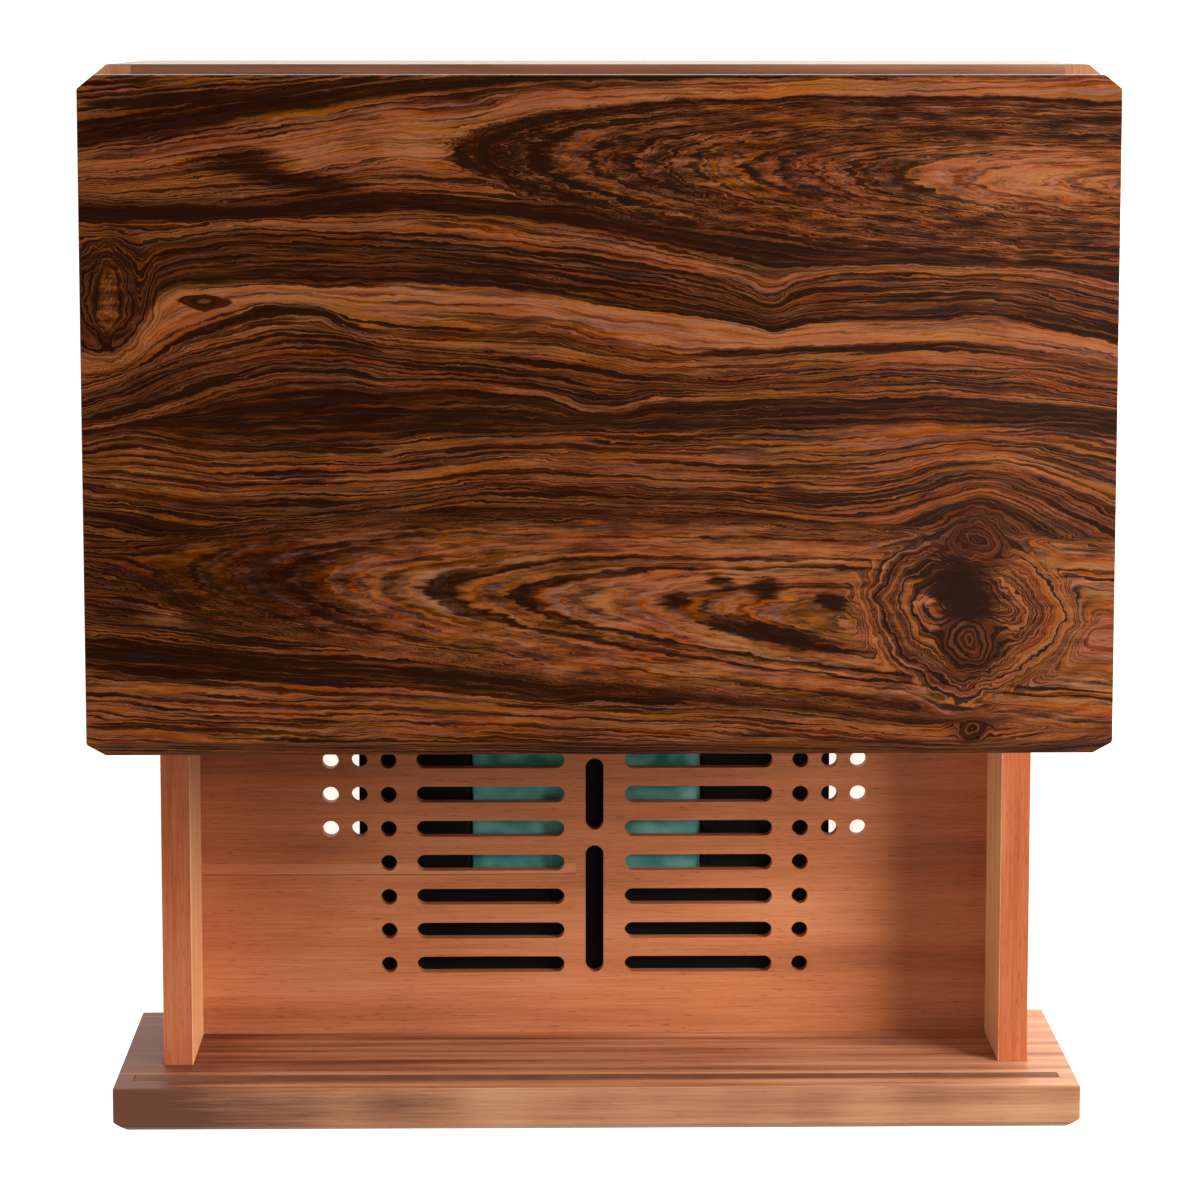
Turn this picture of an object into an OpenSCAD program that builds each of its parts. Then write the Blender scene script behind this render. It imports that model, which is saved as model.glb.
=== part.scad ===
// Desktop humidor: a lidded wooden chest over a drawer with a perforated floor.
// Millimetres, +Z up, front towards -Y. The origin is the middle of the base, on the table.

/* [Case] */
// Width of the case, the lid and the drawer front
case_w = 400; // [370:1:460]
// Depth of the case, from the front edges of its sides to its back face
case_d = 250; // [238:1:290]
// Thickness of the case sides and back
wall_t = 16; // [14:0.5:20]
// Thickness of the bottom board
bottom_t = 10; // [8:0.5:16]
// How deep the deck and the bottom are let into the sides
housing_d = 5; // [3:0.5:7]
// Width of the clipped corners along X
corner_clip_x = 6.5; // [3:0.1:9]
// Depth of the clipped corners along Y
corner_clip_y = 5.3; // [3:0.1:9]

/* [Base] */
// Height of the plinth
plinth_h = 10; // [6:0.5:20]
// How far the plinth stands in from the case all round
plinth_inset = 18; // [8:1:30]
// Thickness of the pressed felt pad under the plinth
felt_t = 2; // [1:0.5:4]

/* [Upper compartment] */
// Height of the fascia above the drawer front
fascia_h = 25.2; // [15:0.1:40]
// Thickness of the rail behind the fascia
front_rail_t = 8; // [6:0.5:14]
// Thickness of the deck between the compartment and the drawer
deck_t = 8; // [6:0.5:12]
// Room between the drawer walls and the deck
deck_gap = 3; // [1:0.5:6]
// Thickness of the cedar lining boards
lining_t = 6; // [4:0.5:9]
// How far the lining stands above the rim as a sealing lip
lip_h = 5; // [2:0.5:9]

/* [Lid] */
// Thickness of the top panel
lid_panel_t = 14; // [11:0.5:20]
// Height of the lid rails under the panel
lid_rail_h = 31; // [22:0.5:50]
// Width of the bevel on the front edge, seen from above
lid_bevel_w = 6.5; // [2:0.1:9]
// Height of the bevel on the front edge
lid_bevel_h = 8; // [2:0.1:10]
// Thickness of the cedar panel inside the lid
lid_lining_t = 6; // [3:0.5:10]
// Ledge of the case back that shows behind the lid
back_ledge = 3.5; // [2.6:0.1:5]
// Gap between the closed lid and the rim
lid_gap = 0.3; // [0.2:0.05:0.6]
// Gap between the sealing lip and the lid rails
lip_clear = 0.7; // [0.4:0.1:1.5]

/* [Hinges] */
// Distance of each hinge's middle from the side of the case
hinge_side = 80; // [50:1:140]
// Length of a hinge
hinge_len = 44; // [30:1:60]
// Leaf from its front edge to the pin
leaf_w = 8; // [7:0.1:8.6]
// Thickness of a leaf
leaf_t = 1.2; // [1:0.1:1.5]
// Outer radius of the knuckles
knuckle_r = 2; // [1.6:0.1:2.2]
// Number of knuckles on one hinge
knuckle_n = 5; // [3:2:7]
// Radius of the hinge pin
pin_r = 1; // [0.7:0.05:1.1]
// How far the pin's axis lies inside the lid's back edge
hinge_inset = 2.6; // [2.4:0.1:3]
// How far the lid's back rail stays in front of the axis
hinge_setback = 1; // [0.8:0.1:1.4]

/* [Drawer] */
// How far the drawer is drawn out
pull = 170; // [0:1:180]
// Height of the drawer front
front_h = 122; // [112:0.5:150]
// Thickness of the drawer front
front_t = 18; // [14:0.5:24]
// How far the front hangs below the case, as a finger lip
front_lip = 5; // [2:0.5:6]
// Width of the clipped corners of the front along X
front_clip_x = 5.6; // [2:0.1:9]
// Depth of the clipped corners of the front along Y
front_clip_y = 3.6; // [2:0.1:7]
// Bevel on the top outer edge of the front
front_bevel = 2; // [0.5:0.1:4]
// Thickness of the drawer sides
side_t = 12.4; // [10:0.1:16]
// Thickness of the drawer back
back_t = 12; // [8:0.5:16]
// Height of the drawer walls above the floor
drawer_wall_h = 49; // [40:0.5:60]
// Room behind the closed drawer
bay_back_gap = 12; // [6:0.5:30]
// Room between a drawer side and the case side
bay_side_gap = 1.6; // [1:0.1:2.5]
// Room between the bottom board and the drawer walls
bay_floor_gap = 3; // [1:0.5:5]
// Gap between the drawer front and the pieces behind and above it
front_gap = 0.6; // [0.3:0.1:1.2]
// How deep the drawer sides are let into the front, and the back into the sides
dado_d = 5; // [3:0.5:6]

/* [Drawer floor] */
// Thickness of the perforated floor
floor_t = 6; // [5:0.5:8]
// Room under the floor, down to the bottom board
under_floor = 15; // [14:0.5:24]
// How deep the floor is let into the drawer walls
floor_groove_d = 4; // [2:0.5:5]
// Distance of the first row of perforations from the front
row_first = 30; // [24:0.5:40]
// Spacing of the rows
row_pitch = 15; // [11:0.5:24]
// Width of the slots and diameter of the holes
slot_w = 7; // [4:0.1:9]
// Length of a slot in a row
slot_len = 64; // [30:0.5:70]
// Distance of a slot's inner end from the middle
slot_start = 13; // [9:0.5:18]
// Distance from a slot's outer end to the hole beside it
hole_step = 12; // [9:0.5:12]
// Spacing of the outer holes in the middle rows
outer_hole_step = 12.5; // [9:0.5:14]
// Number of outer holes at each end of a middle row
outer_hole_n = 2; // [0:1:3]
// Number of rows that have outer holes
middle_rows = 3; // [1:2:5]
// Width of the slots along the middle
spine_w = 7.8; // [4:0.1:9]
// Length of the middle one of those slots
spine_mid_len = 31.4; // [20:0.1:50]
// Wood left between those slots
spine_bridge = 6.8; // [4:0.1:12]

/* [Seal] */
// Height of the seal strip
seal_h = 7.5; // [4:0.1:10]
// Depth of the seal strip
seal_d = 3; // [1.5:0.1:4]
// Distance of the strip from the top of the front
seal_drop = 12.5; // [6:0.1:20]
// Distance of the strip from each end of the front
seal_margin = 7.5; // [6:0.1:30]

/* [Runners] */
// Height of a runner
runner_h = 10; // [6:0.5:16]
// Distance of a runner above the drawer floor's top
runner_up = 12; // [6:0.5:24]
// Depth of the groove that a runner fits in
runner_groove_d = 4.5; // [3:0.1:6]
// Distance of a runner's ends from the front and back of the bay
runner_margin = 6; // [2:0.5:20]
// Number of screws in a runner
runner_screw_n = 3; // [2:1:5]
// Distance of the end screws from the runner's ends
runner_screw_margin = 22; // [10:1:60]

/* [Humidifier] */
// Width of the humidifier housing
housing_w = 204; // [150:1:260]
// Distance of the housing from the front of the drawer and from its back
housing_margin = 20; // [18:0.5:24]
// Height of the housing
housing_h = 12; // [9:0.5:12]
// Gap between the housing and the floor above it
housing_gap = 0.6; // [0.3:0.1:1.5]
// Width of the two gel cells and the rib between them
cell_w = 102.5; // [60:0.5:120]
// Width of the housing's rib between the cells
cell_rib = 14; // [10:0.5:20]
// Length of a gel cell
cell_l = 86; // [50:0.5:110]
// Distance of the cells from the front of the drawer
cell_start = 65.5; // [40:0.5:80]
// Shift of the cells' outer ends from the middle of the housing
cell_shift = -3.5; // [-15:0.5:15]
// Thickness of the housing under the cells
cell_floor = 2; // [1.5:0.5:3]
// Thickness of a cell's clear walls
cell_wall = 1.6; // [1:0.1:3]
// Room over the gel, below the rim of its cell
gel_drop = 1.2; // [0.5:0.1:3]
// Depth of a cleat, front to back
cleat_d = 10; // [7:0.5:12]
// Length of a cleat
cleat_len = 120; // [80:1:140]
// How far a cleat's tongue reaches into the housing
cleat_tongue = 4; // [2:0.5:5]
// Thickness of a cleat's tongue
cleat_tongue_t = 2.4; // [1.5:0.1:4]
// Spacing of the two screws in a cleat
cleat_screw_pitch = 80; // [40:1:100]

/* [Screws] */
// Radius of a screw head
head_r = 2; // [1.5:0.1:2.5]
// Height of a countersunk head
head_h = 1; // [0.8:0.1:1]
// Radius of a shank
shank_r = 0.9; // [0.6:0.1:1.2]
// Grip of the screws in the wood, past the piece that they hold
grip = 4; // [2:0.5:4.5]

/* [Fits] */
// Clearance of pieces that slide or slip in
slip = 0.3; // [0.2:0.05:0.5]
// Radial clearance of the pins and screws
running = 0.05; // [0.02:0.01:0.1]

/* [Hidden] */
$fn = 48;

// Colours, as the pieces look
rosewood = "#7a4222";
cedar = "#b06a42";
hardwood = "#8a5534";
brass = "#b8913f";
steel = "#9a9a96";
black = "#1c1c1e";
clear_plastic = "#c8d8d4";
teal = "#2f8f86";
felt = "#3a3a34";
rubber = "#2a221e";

// Cutters reach past the faces that they open by this much
past = 1;

// Plan of the case
half_w = case_w / 2;
inner_w = half_w - wall_t;
hinge_x = half_w - hinge_side;
front_step = front_t + front_gap;
front_y = -(case_d + front_step) / 2;
case_y0 = front_y + front_step;
case_y1 = case_y0 + case_d;
bay_y1 = case_y1 - wall_t;
chest_y0 = case_y0 + front_rail_t;

// Heights
case_z0 = felt_t + plinth_h;
bottom_z1 = case_z0 + bottom_t;
floor_z0 = bottom_z1 + under_floor;
floor_z1 = floor_z0 + floor_t;
drawer_z0 = bottom_z1 + bay_floor_gap;
drawer_z1 = floor_z1 + drawer_wall_h;
front_z0 = case_z0 - front_lip;
front_z1 = front_z0 + front_h;
deck_z0 = drawer_z1 + deck_gap;
deck_z1 = deck_z0 + deck_t;
fascia_z0 = front_z1 + front_gap;
rim_z = fascia_z0 + fascia_h;
lid_z0 = rim_z + lid_gap;
panel_z0 = lid_z0 + lid_rail_h;
lid_z1 = panel_z0 + lid_panel_t;

// Plan of the lid and place of the hinge pins
lid_y1 = case_y1 - back_ledge;
hinge_y = lid_y1 - hinge_inset;
hinge_z = rim_z + lid_gap / 2;
lid_rail_x = inner_w + lip_clear;
lid_rail_y0 = chest_y0 - lip_clear;
lid_rail_y1 = bay_y1 + lip_clear;
lid_back_y = hinge_y - hinge_setback;
knuckle_pitch = hinge_len / knuckle_n;
hinge_screw_pitch = hinge_len / 3;
hinge_screw_y = hinge_y - (leaf_w + knuckle_r + slip) / 2;
hinge_screw_len = leaf_t + grip;

// Plan of the drawer, measured back from the inner face of its front
drawer_y = case_y0 - front_gap - pull;
drawer_half = inner_w - bay_side_gap;
drawer_in = drawer_half - side_t;
drawer_len = case_d - wall_t + front_gap - bay_back_gap;
drawer_in_d = drawer_len - back_t;
row_n = floor((drawer_in_d - 2 * row_first) / row_pitch + 0.001) + 1;
row_span = (row_n - 1) * row_pitch;
row_y0 = (drawer_in_d - row_span) / 2;
spine_y0 = row_y0 - slot_w / 2;
spine_mid_y0 = (drawer_in_d - spine_mid_len) / 2;

// Runners
runner_x0 = drawer_half - runner_groove_d + slip;
runner_z0 = floor_z1 + runner_up;
runner_y0 = case_y0 + runner_margin;
runner_y1 = bay_y1 - bay_back_gap - runner_margin;
runner_t = inner_w - runner_x0;
runner_screw_len = runner_t + grip;
runner_screw_step = (runner_y1 - runner_y0 - 2 * runner_screw_margin) / (runner_screw_n - 1);

// Humidifier
housing_z1 = floor_z0 - housing_gap;
housing_z0 = housing_z1 - housing_h;
housing_y1 = drawer_in_d - housing_margin;
cell_z0 = housing_z0 + cell_floor;
cell_x0 = cell_shift - cell_w / 2;
tongue_z0 = housing_z0 + (housing_h - cleat_tongue_t) / 2;
cleat_z0 = tongue_z0 - slip;
cleat_screw_len = floor_z0 - cleat_z0 + grip;

// A block between two corners
module block(x0, x1, y0, y1, z0, z1) {
  translate([x0, y0, z0]) cube([x1 - x0, y1 - y0, z1 - z0]);
}

// A profile in Y and Z, drawn out along X
module along_x(x0, x1) {
  translate([x0, 0, 0]) rotate([90, 0, 90]) linear_extrude(x1 - x0) children();
}

// A rectangle with its four corners clipped
module clipped_plan(y0, y1, front_x, front_y, back_x, back_y) {
  polygon([
    [-half_w, y0 + front_y], [-half_w + front_x, y0], [half_w - front_x, y0], [half_w, y0 + front_y],
    [half_w, y1 - back_y], [half_w - back_x, y1], [-half_w + back_x, y1], [-half_w, y1 - back_y]
  ]);
}

module case_plan() {
  clipped_plan(front_y, case_y1, front_clip_x, front_clip_y, corner_clip_x, corner_clip_y);
}

module lid_plan() {
  clipped_plan(front_y, lid_y1, corner_clip_x, corner_clip_y, corner_clip_x, corner_clip_y);
}

// A countersunk screw, its head's top at the origin and its shank down along -Z
module screw(length, clearance = 0) {
  translate([0, 0, -length]) cylinder(h = length, r = shank_r + clearance);
  translate([0, 0, -head_h]) cylinder(h = head_h, r1 = shank_r + clearance, r2 = head_r + clearance);
}

// Case

module runner_screw_places() {
  for (i = [0 : runner_screw_n - 1])
    translate([runner_x0, runner_y0 + runner_screw_margin + i * runner_screw_step, runner_z0 + runner_h / 2])
      rotate([0, -90, 0]) children();
}

module case_side() {
  difference() {
    intersection() {
      translate([0, 0, case_z0]) linear_extrude(rim_z - case_z0) case_plan();
      block(inner_w, half_w, case_y0, case_y1, case_z0, rim_z);
    }
    block(inner_w - past, inner_w + housing_d, case_y0 - past, bay_y1, case_z0 - past, bottom_z1);
    block(inner_w - past, inner_w + housing_d, chest_y0, bay_y1, deck_z0, deck_z1);
    runner_screw_places() screw(runner_screw_len, running);
  }
}

module case_left() {
  color(rosewood) mirror([1, 0, 0]) case_side();
}

module case_right() {
  color(rosewood) case_side();
}

module case_back() {
  color(rosewood) difference() {
    block(-inner_w, inner_w, bay_y1, case_y1, case_z0, rim_z);
    for (side = [-1, 1]) translate([side * hinge_x, hinge_y, hinge_z]) {
      barrel_trough();
      block(-hinge_len / 2, hinge_len / 2, -leaf_w, 0, -leaf_t - lid_gap / 2, past);
    }
    hinge_screw_places() screw(hinge_screw_len, running);
  }
}

module case_bottom() {
  bottom_half = inner_w + housing_d;
  color(hardwood) block(-bottom_half, bottom_half, case_y0, bay_y1, case_z0, bottom_z1);
}

module plinth_plan(z0, z1) {
  plinth_half = half_w - plinth_inset;
  block(-plinth_half, plinth_half, case_y0 + plinth_inset, case_y1 - plinth_inset, z0, z1);
}

module plinth() {
  color(hardwood) plinth_plan(felt_t, case_z0);
}

module base_pad() {
  color(felt) plinth_plan(0, felt_t);
}

module front_rail() {
  color(hardwood) block(-inner_w, inner_w, case_y0, chest_y0, deck_z0, rim_z);
}

module fascia() {
  color(rosewood) intersection() {
    translate([0, 0, fascia_z0]) linear_extrude(fascia_h) case_plan();
    block(-half_w, half_w, front_y, case_y0, fascia_z0, rim_z);
  }
}

module deck() {
  deck_half = inner_w + housing_d;
  color(cedar) block(-deck_half, deck_half, chest_y0, bay_y1, deck_z0, deck_z1);
}

module side_lining() {
  block(inner_w - lining_t, inner_w, chest_y0, bay_y1, deck_z1, rim_z + lip_h);
}

module cross_lining(y0) {
  lining_half = inner_w - lining_t;
  block(-lining_half, lining_half, y0, y0 + lining_t, deck_z1, rim_z + lip_h);
}

module lining_left() {
  color(cedar) mirror([1, 0, 0]) side_lining();
}

module lining_right() {
  color(cedar) side_lining();
}

module lining_front() {
  color(cedar) cross_lining(chest_y0);
}

module lining_back() {
  color(cedar) cross_lining(bay_y1 - lining_t);
}

module runner() {
  difference() {
    block(runner_x0, inner_w, runner_y0, runner_y1, runner_z0, runner_z0 + runner_h);
    runner_screw_places() screw(runner_screw_len, running);
  }
}

module runner_left() {
  color(hardwood) mirror([1, 0, 0]) runner();
}

module runner_right() {
  color(hardwood) runner();
}

module runner_screws() {
  color(steel) {
    runner_screw_places() screw(runner_screw_len);
    mirror([1, 0, 0]) runner_screw_places() screw(runner_screw_len);
  }
}

// Hinges

// Room for the knuckles in the wood round them
module barrel_trough() {
  translate([-hinge_len / 2 - slip, 0, 0]) rotate([0, 90, 0])
    cylinder(h = hinge_len + 2 * slip, r = knuckle_r + slip);
}

module hinge_screw_places() {
  for (side = [-1, 1], i = [-1 : 1])
    translate([side * hinge_x + i * hinge_screw_pitch, hinge_screw_y, rim_z]) children();
}

// One leaf about the pin's axis, with every second knuckle from the first, its plate below the axis
module hinge_leaf(first) {
  plate_z1 = -lid_gap / 2;
  difference() {
    union() {
      block(-hinge_len / 2, hinge_len / 2, -leaf_w, -knuckle_r - slip, plate_z1 - leaf_t, plate_z1);
      for (i = [first : 2 : knuckle_n - 1]) {
        x0 = -hinge_len / 2 + i * knuckle_pitch + slip / 2;
        x1 = x0 + knuckle_pitch - slip;
        block(x0, x1, -leaf_w, 0, plate_z1 - leaf_t, plate_z1);
        translate([x0, 0, 0]) rotate([0, 90, 0]) cylinder(h = x1 - x0, r = knuckle_r);
      }
    }
    translate([-hinge_len / 2 - past, 0, 0]) rotate([0, 90, 0])
      cylinder(h = hinge_len + 2 * past, r = pin_r + running);
    for (i = [-1 : 1]) translate([i * hinge_screw_pitch, hinge_screw_y - hinge_y, plate_z1])
      screw(hinge_screw_len, running);
  }
}

module case_leaf(side) {
  color(brass) translate([side * hinge_x, hinge_y, hinge_z]) hinge_leaf(0);
}

module lid_leaf(side) {
  color(brass) translate([side * hinge_x, hinge_y, hinge_z]) mirror([0, 0, 1]) hinge_leaf(1);
}

module hinge_pin(side) {
  color(steel) translate([side * hinge_x - hinge_len / 2, hinge_y, hinge_z]) rotate([0, 90, 0])
    cylinder(h = hinge_len, r = pin_r);
}

module hinge_left_case_leaf() case_leaf(-1);
module hinge_right_case_leaf() case_leaf(1);
module hinge_left_lid_leaf() lid_leaf(-1);
module hinge_right_lid_leaf() lid_leaf(1);
module hinge_left_pin() hinge_pin(-1);
module hinge_right_pin() hinge_pin(1);

module hinge_case_screws() {
  color(brass) hinge_screw_places() screw(hinge_screw_len);
}

// The lid's screws point up, from the other side of the gap
module lid_screw_places() {
  translate([0, 0, 2 * hinge_z]) mirror([0, 0, 1]) hinge_screw_places() children();
}

module hinge_lid_screws() {
  color(brass) lid_screw_places() screw(hinge_screw_len);
}

// Lid

module lid_panel() {
  color(rosewood) difference() {
    translate([0, 0, panel_z0]) linear_extrude(lid_panel_t) lid_plan();
    along_x(-half_w - past, half_w + past) polygon([
      [front_y - past, lid_z1 + past], [front_y - past, lid_z1 - lid_bevel_h],
      [front_y, lid_z1 - lid_bevel_h], [front_y + lid_bevel_w, lid_z1], [front_y + lid_bevel_w, lid_z1 + past]
    ]);
  }
}

// A lid rail is what the lid's plan leaves of a block
module lid_rail(x0, x1, y0, y1) {
  color(rosewood) intersection() {
    translate([0, 0, lid_z0]) linear_extrude(lid_rail_h) lid_plan();
    block(x0, x1, y0, y1, lid_z0, panel_z0);
  }
}

module lid_front_rail() {
  lid_rail(-half_w, half_w, front_y, lid_rail_y0);
}

module lid_back_rail() {
  difference() {
    lid_rail(-half_w, half_w, lid_rail_y1, lid_back_y);
    for (side = [-1, 1]) translate([side * hinge_x, hinge_y, hinge_z]) {
      barrel_trough();
      block(-hinge_len / 2, hinge_len / 2, -leaf_w, 0, -past, leaf_t + lid_gap / 2);
    }
    lid_screw_places() screw(hinge_screw_len, running);
  }
}

module lid_left_rail() {
  lid_rail(-half_w, -lid_rail_x, lid_rail_y0, lid_rail_y1);
}

module lid_right_rail() {
  lid_rail(lid_rail_x, half_w, lid_rail_y0, lid_rail_y1);
}

module lid_lining() {
  color(cedar) block(-lid_rail_x, lid_rail_x, lid_rail_y0, lid_rail_y1, panel_z0 - lid_lining_t, panel_z0);
}

// Drawer

module at_drawer() {
  translate([0, drawer_y, 0]) children();
}

// The floor's edges, let into the four walls round it
module floor_blank() {
  reach = floor_groove_d;
  block(-drawer_in - reach, drawer_in + reach, -reach, drawer_in_d + reach, floor_z0, floor_z1);
}

module drawer_front() {
  color(rosewood) at_drawer() difference() {
    translate([0, 0, front_z0]) intersection() {
      translate([0, -front_t - front_y, 0]) linear_extrude(front_h) case_plan();
      block(-half_w, half_w, -front_t, 0, 0, front_h);
    }
    along_x(-half_w - past, half_w + past) polygon([
      [-front_t - past, front_z1 - front_bevel - past], [-front_t + front_bevel + past, front_z1 + past],
      [-front_t - past, front_z1 + past]
    ]);
    seal_blank(past);
    floor_blank();
    for (side = [0, 1]) mirror([side, 0, 0])
      block(drawer_half - side_t, drawer_half, -dado_d, past, drawer_z0, drawer_z1);
  }
}

module seal_blank(reach) {
  seal_half = half_w - seal_margin;
  block(-seal_half, seal_half, -seal_d, reach, front_z1 - seal_drop - seal_h, front_z1 - seal_drop);
}

module drawer_seal() {
  color(rubber) at_drawer() seal_blank(0);
}

module drawer_side() {
  difference() {
    block(drawer_in, drawer_half, -dado_d, drawer_len, drawer_z0, drawer_z1);
    block(drawer_half - runner_groove_d, drawer_half + past, 0, drawer_len + past,
      runner_z0 - slip, runner_z0 + runner_h + slip);
    block(drawer_in - past, drawer_in + dado_d, drawer_in_d, drawer_len + past, drawer_z0 - past, drawer_z1 + past);
    floor_blank();
  }
}

module drawer_left() {
  color(cedar) at_drawer() mirror([1, 0, 0]) drawer_side();
}

module drawer_right() {
  color(cedar) at_drawer() drawer_side();
}

module drawer_back() {
  back_half = drawer_in + dado_d;
  color(cedar) at_drawer() difference() {
    block(-back_half, back_half, drawer_in_d, drawer_len, drawer_z0, drawer_z1);
    floor_blank();
  }
}

// A round-ended slot through the floor, from one end to the other
module floor_slot(x0, y0, x1, y1, w) {
  translate([0, 0, floor_z0 - past]) {
    for (end = [[x0, y0], [x1, y1]]) translate(end) cylinder(h = floor_t + 2 * past, d = w);
    translate([min(x0, x1) - (x0 == x1 ? w / 2 : 0), min(y0, y1) - (y0 == y1 ? w / 2 : 0), 0])
      cube([x0 == x1 ? w : abs(x1 - x0), y0 == y1 ? w : abs(y1 - y0), floor_t + 2 * past]);
  }
}

module floor_hole(x, y) {
  translate([x, y, floor_z0 - past]) cylinder(h = floor_t + 2 * past, d = slot_w);
}

// A middle row has more holes at its ends than the other rows
function holes_in_row(i) = abs(i - (row_n - 1) / 2) <= (middle_rows - 1) / 2 ? outer_hole_n : 0;

module floor_row(i) {
  y = row_y0 + i * row_pitch;
  slot_end = slot_start + slot_len;
  for (side = [0, 1]) mirror([side, 0, 0]) {
    floor_slot(slot_start + slot_w / 2, y, slot_end - slot_w / 2, y, slot_w);
    for (k = [0 : holes_in_row(i)]) floor_hole(slot_end + hole_step + k * outer_hole_step, y);
  }
}

module floor_spine() {
  outer_y1 = spine_mid_y0 - spine_bridge;
  r = spine_w / 2;
  floor_slot(0, spine_y0 + r, 0, outer_y1 - r, spine_w);
  floor_slot(0, spine_mid_y0 + r, 0, drawer_in_d - spine_mid_y0 - r, spine_w);
  floor_slot(0, drawer_in_d - outer_y1 + r, 0, drawer_in_d - spine_y0 - r, spine_w);
}

module drawer_floor() {
  color(cedar) at_drawer() difference() {
    floor_blank();
    for (i = [0 : row_n - 1]) floor_row(i);
    floor_spine();
    cleat_screw_places() screw(cleat_screw_len, running);
  }
}

// Humidifier under the drawer floor

// One cell stands each side of the rib under the floor's middle slots
module cell_blank(side, inset, z0) {
  x0 = side < 0 ? cell_x0 : cell_rib / 2;
  x1 = side < 0 ? -cell_rib / 2 : cell_x0 + cell_w;
  block(x0 + inset, x1 - inset, cell_start + inset, cell_start + cell_l - inset, z0, housing_z1);
}

module humidifier_housing() {
  color(black) at_drawer() difference() {
    block(-housing_w / 2, housing_w / 2, housing_margin, housing_y1, housing_z0, housing_z1);
    for (side = [-1, 1]) cell_blank(side, 0, cell_z0);
    for (y = [housing_margin, housing_y1])
      block(-cleat_len / 2 - slip, cleat_len / 2 + slip, y - cleat_tongue - slip, y + cleat_tongue + slip,
        tongue_z0 - slip, tongue_z0 + cleat_tongue_t + slip);
  }
}

module humidifier_cell(side) {
  color(clear_plastic, 0.5) at_drawer() difference() {
    cell_blank(side, slip, cell_z0);
    cell_blank(side, slip + cell_wall, cell_z0 + cell_wall);
  }
}

module moisture_gel(side) {
  color(teal) at_drawer() difference() {
    cell_blank(side, slip + cell_wall, cell_z0 + cell_wall);
    cell_blank(side, 0, housing_z1 - gel_drop);
  }
}

// The front cleat carries the housing by a tongue in its front face
module cleat() {
  block(-cleat_len / 2, cleat_len / 2, housing_margin - cleat_d - slip, housing_margin - slip, cleat_z0, floor_z0);
  block(-cleat_len / 2, cleat_len / 2, housing_margin - cleat_d, housing_margin + cleat_tongue,
    tongue_z0, tongue_z0 + cleat_tongue_t);
}

module cleat_screw_places() {
  for (y = [housing_margin - cleat_d / 2 - slip, housing_y1 + cleat_d / 2 + slip], side = [-1, 1])
    translate([side * cleat_screw_pitch / 2, y, cleat_z0]) rotate([180, 0, 0]) children();
}

module drilled_cleat() {
  at_drawer() difference() {
    children();
    cleat_screw_places() screw(cleat_screw_len, running);
  }
}

module cleat_front() {
  color(hardwood) drilled_cleat() cleat();
}

module cleat_back() {
  color(hardwood) drilled_cleat() translate([0, drawer_in_d, 0]) mirror([0, 1, 0]) cleat();
}

module cleat_screws() {
  color(steel) at_drawer() cleat_screw_places() screw(cleat_screw_len);
}

case_left();
case_right();
case_back();
case_bottom();
plinth();
base_pad();
front_rail();
fascia();
deck();
lining_left();
lining_right();
lining_front();
lining_back();
runner_left();
runner_right();
runner_screws();
hinge_left_case_leaf();
hinge_right_case_leaf();
hinge_left_pin();
hinge_right_pin();
hinge_case_screws();
lid_panel();
lid_front_rail();
lid_back_rail();
lid_left_rail();
lid_right_rail();
lid_lining();
hinge_left_lid_leaf();
hinge_right_lid_leaf();
hinge_lid_screws();
drawer_front();
drawer_left();
drawer_right();
drawer_back();
drawer_floor();
drawer_seal();
humidifier_housing();
humidifier_cell(-1);  // humidifier_left_cell
humidifier_cell(1);  // humidifier_right_cell
moisture_gel(-1);  // gel_left
moisture_gel(1);  // gel_right
cleat_front();
cleat_back();
cleat_screws();
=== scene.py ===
"""The looks of a desktop humidor with a figured rosewood lid and an open cedar drawer."""

import logging
import math
from dataclasses import KW_ONLY, dataclass, replace
from enum import Enum
from itertools import pairwise
from typing import Callable, Sequence, Union

import bmesh
import bpy
from mathutils import Euler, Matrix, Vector


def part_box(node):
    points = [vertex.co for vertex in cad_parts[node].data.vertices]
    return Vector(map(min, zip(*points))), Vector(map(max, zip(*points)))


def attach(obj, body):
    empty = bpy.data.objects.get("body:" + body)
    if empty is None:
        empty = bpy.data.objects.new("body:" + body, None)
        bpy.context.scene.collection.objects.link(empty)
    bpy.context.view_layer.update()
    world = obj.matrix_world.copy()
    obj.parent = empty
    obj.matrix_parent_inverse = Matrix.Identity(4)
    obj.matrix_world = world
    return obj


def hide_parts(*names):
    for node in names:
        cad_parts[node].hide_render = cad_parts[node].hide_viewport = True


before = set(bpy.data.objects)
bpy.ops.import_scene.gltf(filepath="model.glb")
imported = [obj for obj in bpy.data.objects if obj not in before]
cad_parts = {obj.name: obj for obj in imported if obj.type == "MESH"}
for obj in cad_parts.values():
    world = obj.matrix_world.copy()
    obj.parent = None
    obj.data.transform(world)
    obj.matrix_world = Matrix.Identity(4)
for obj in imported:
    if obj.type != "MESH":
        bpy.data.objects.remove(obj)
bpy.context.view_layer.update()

MM = 0.001
PER_MM = 1000.0
# Corners of a CAD mesh that are closer than this are one corner
SAME_SPOT = 1e-6
# A face looks in a direction when its normal has more than this share of it
FACING = 0.35
LEFT, RIGHT = (-1, 0, 0), (1, 0, 0)
FRONT, BACK = (0, -1, 0), (0, 1, 0)
LOG = logging.getLogger("humidor")

Tree = bpy.types.NodeTree
Node = bpy.types.Node
Socket = bpy.types.NodeSocket
Mesh = bpy.types.Mesh
Object = bpy.types.Object
Stops = Sequence[tuple[float, float]]
Links = dict[Union[int, str], object]
FacePicker = Callable[[Vector, Vector], int]


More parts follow.
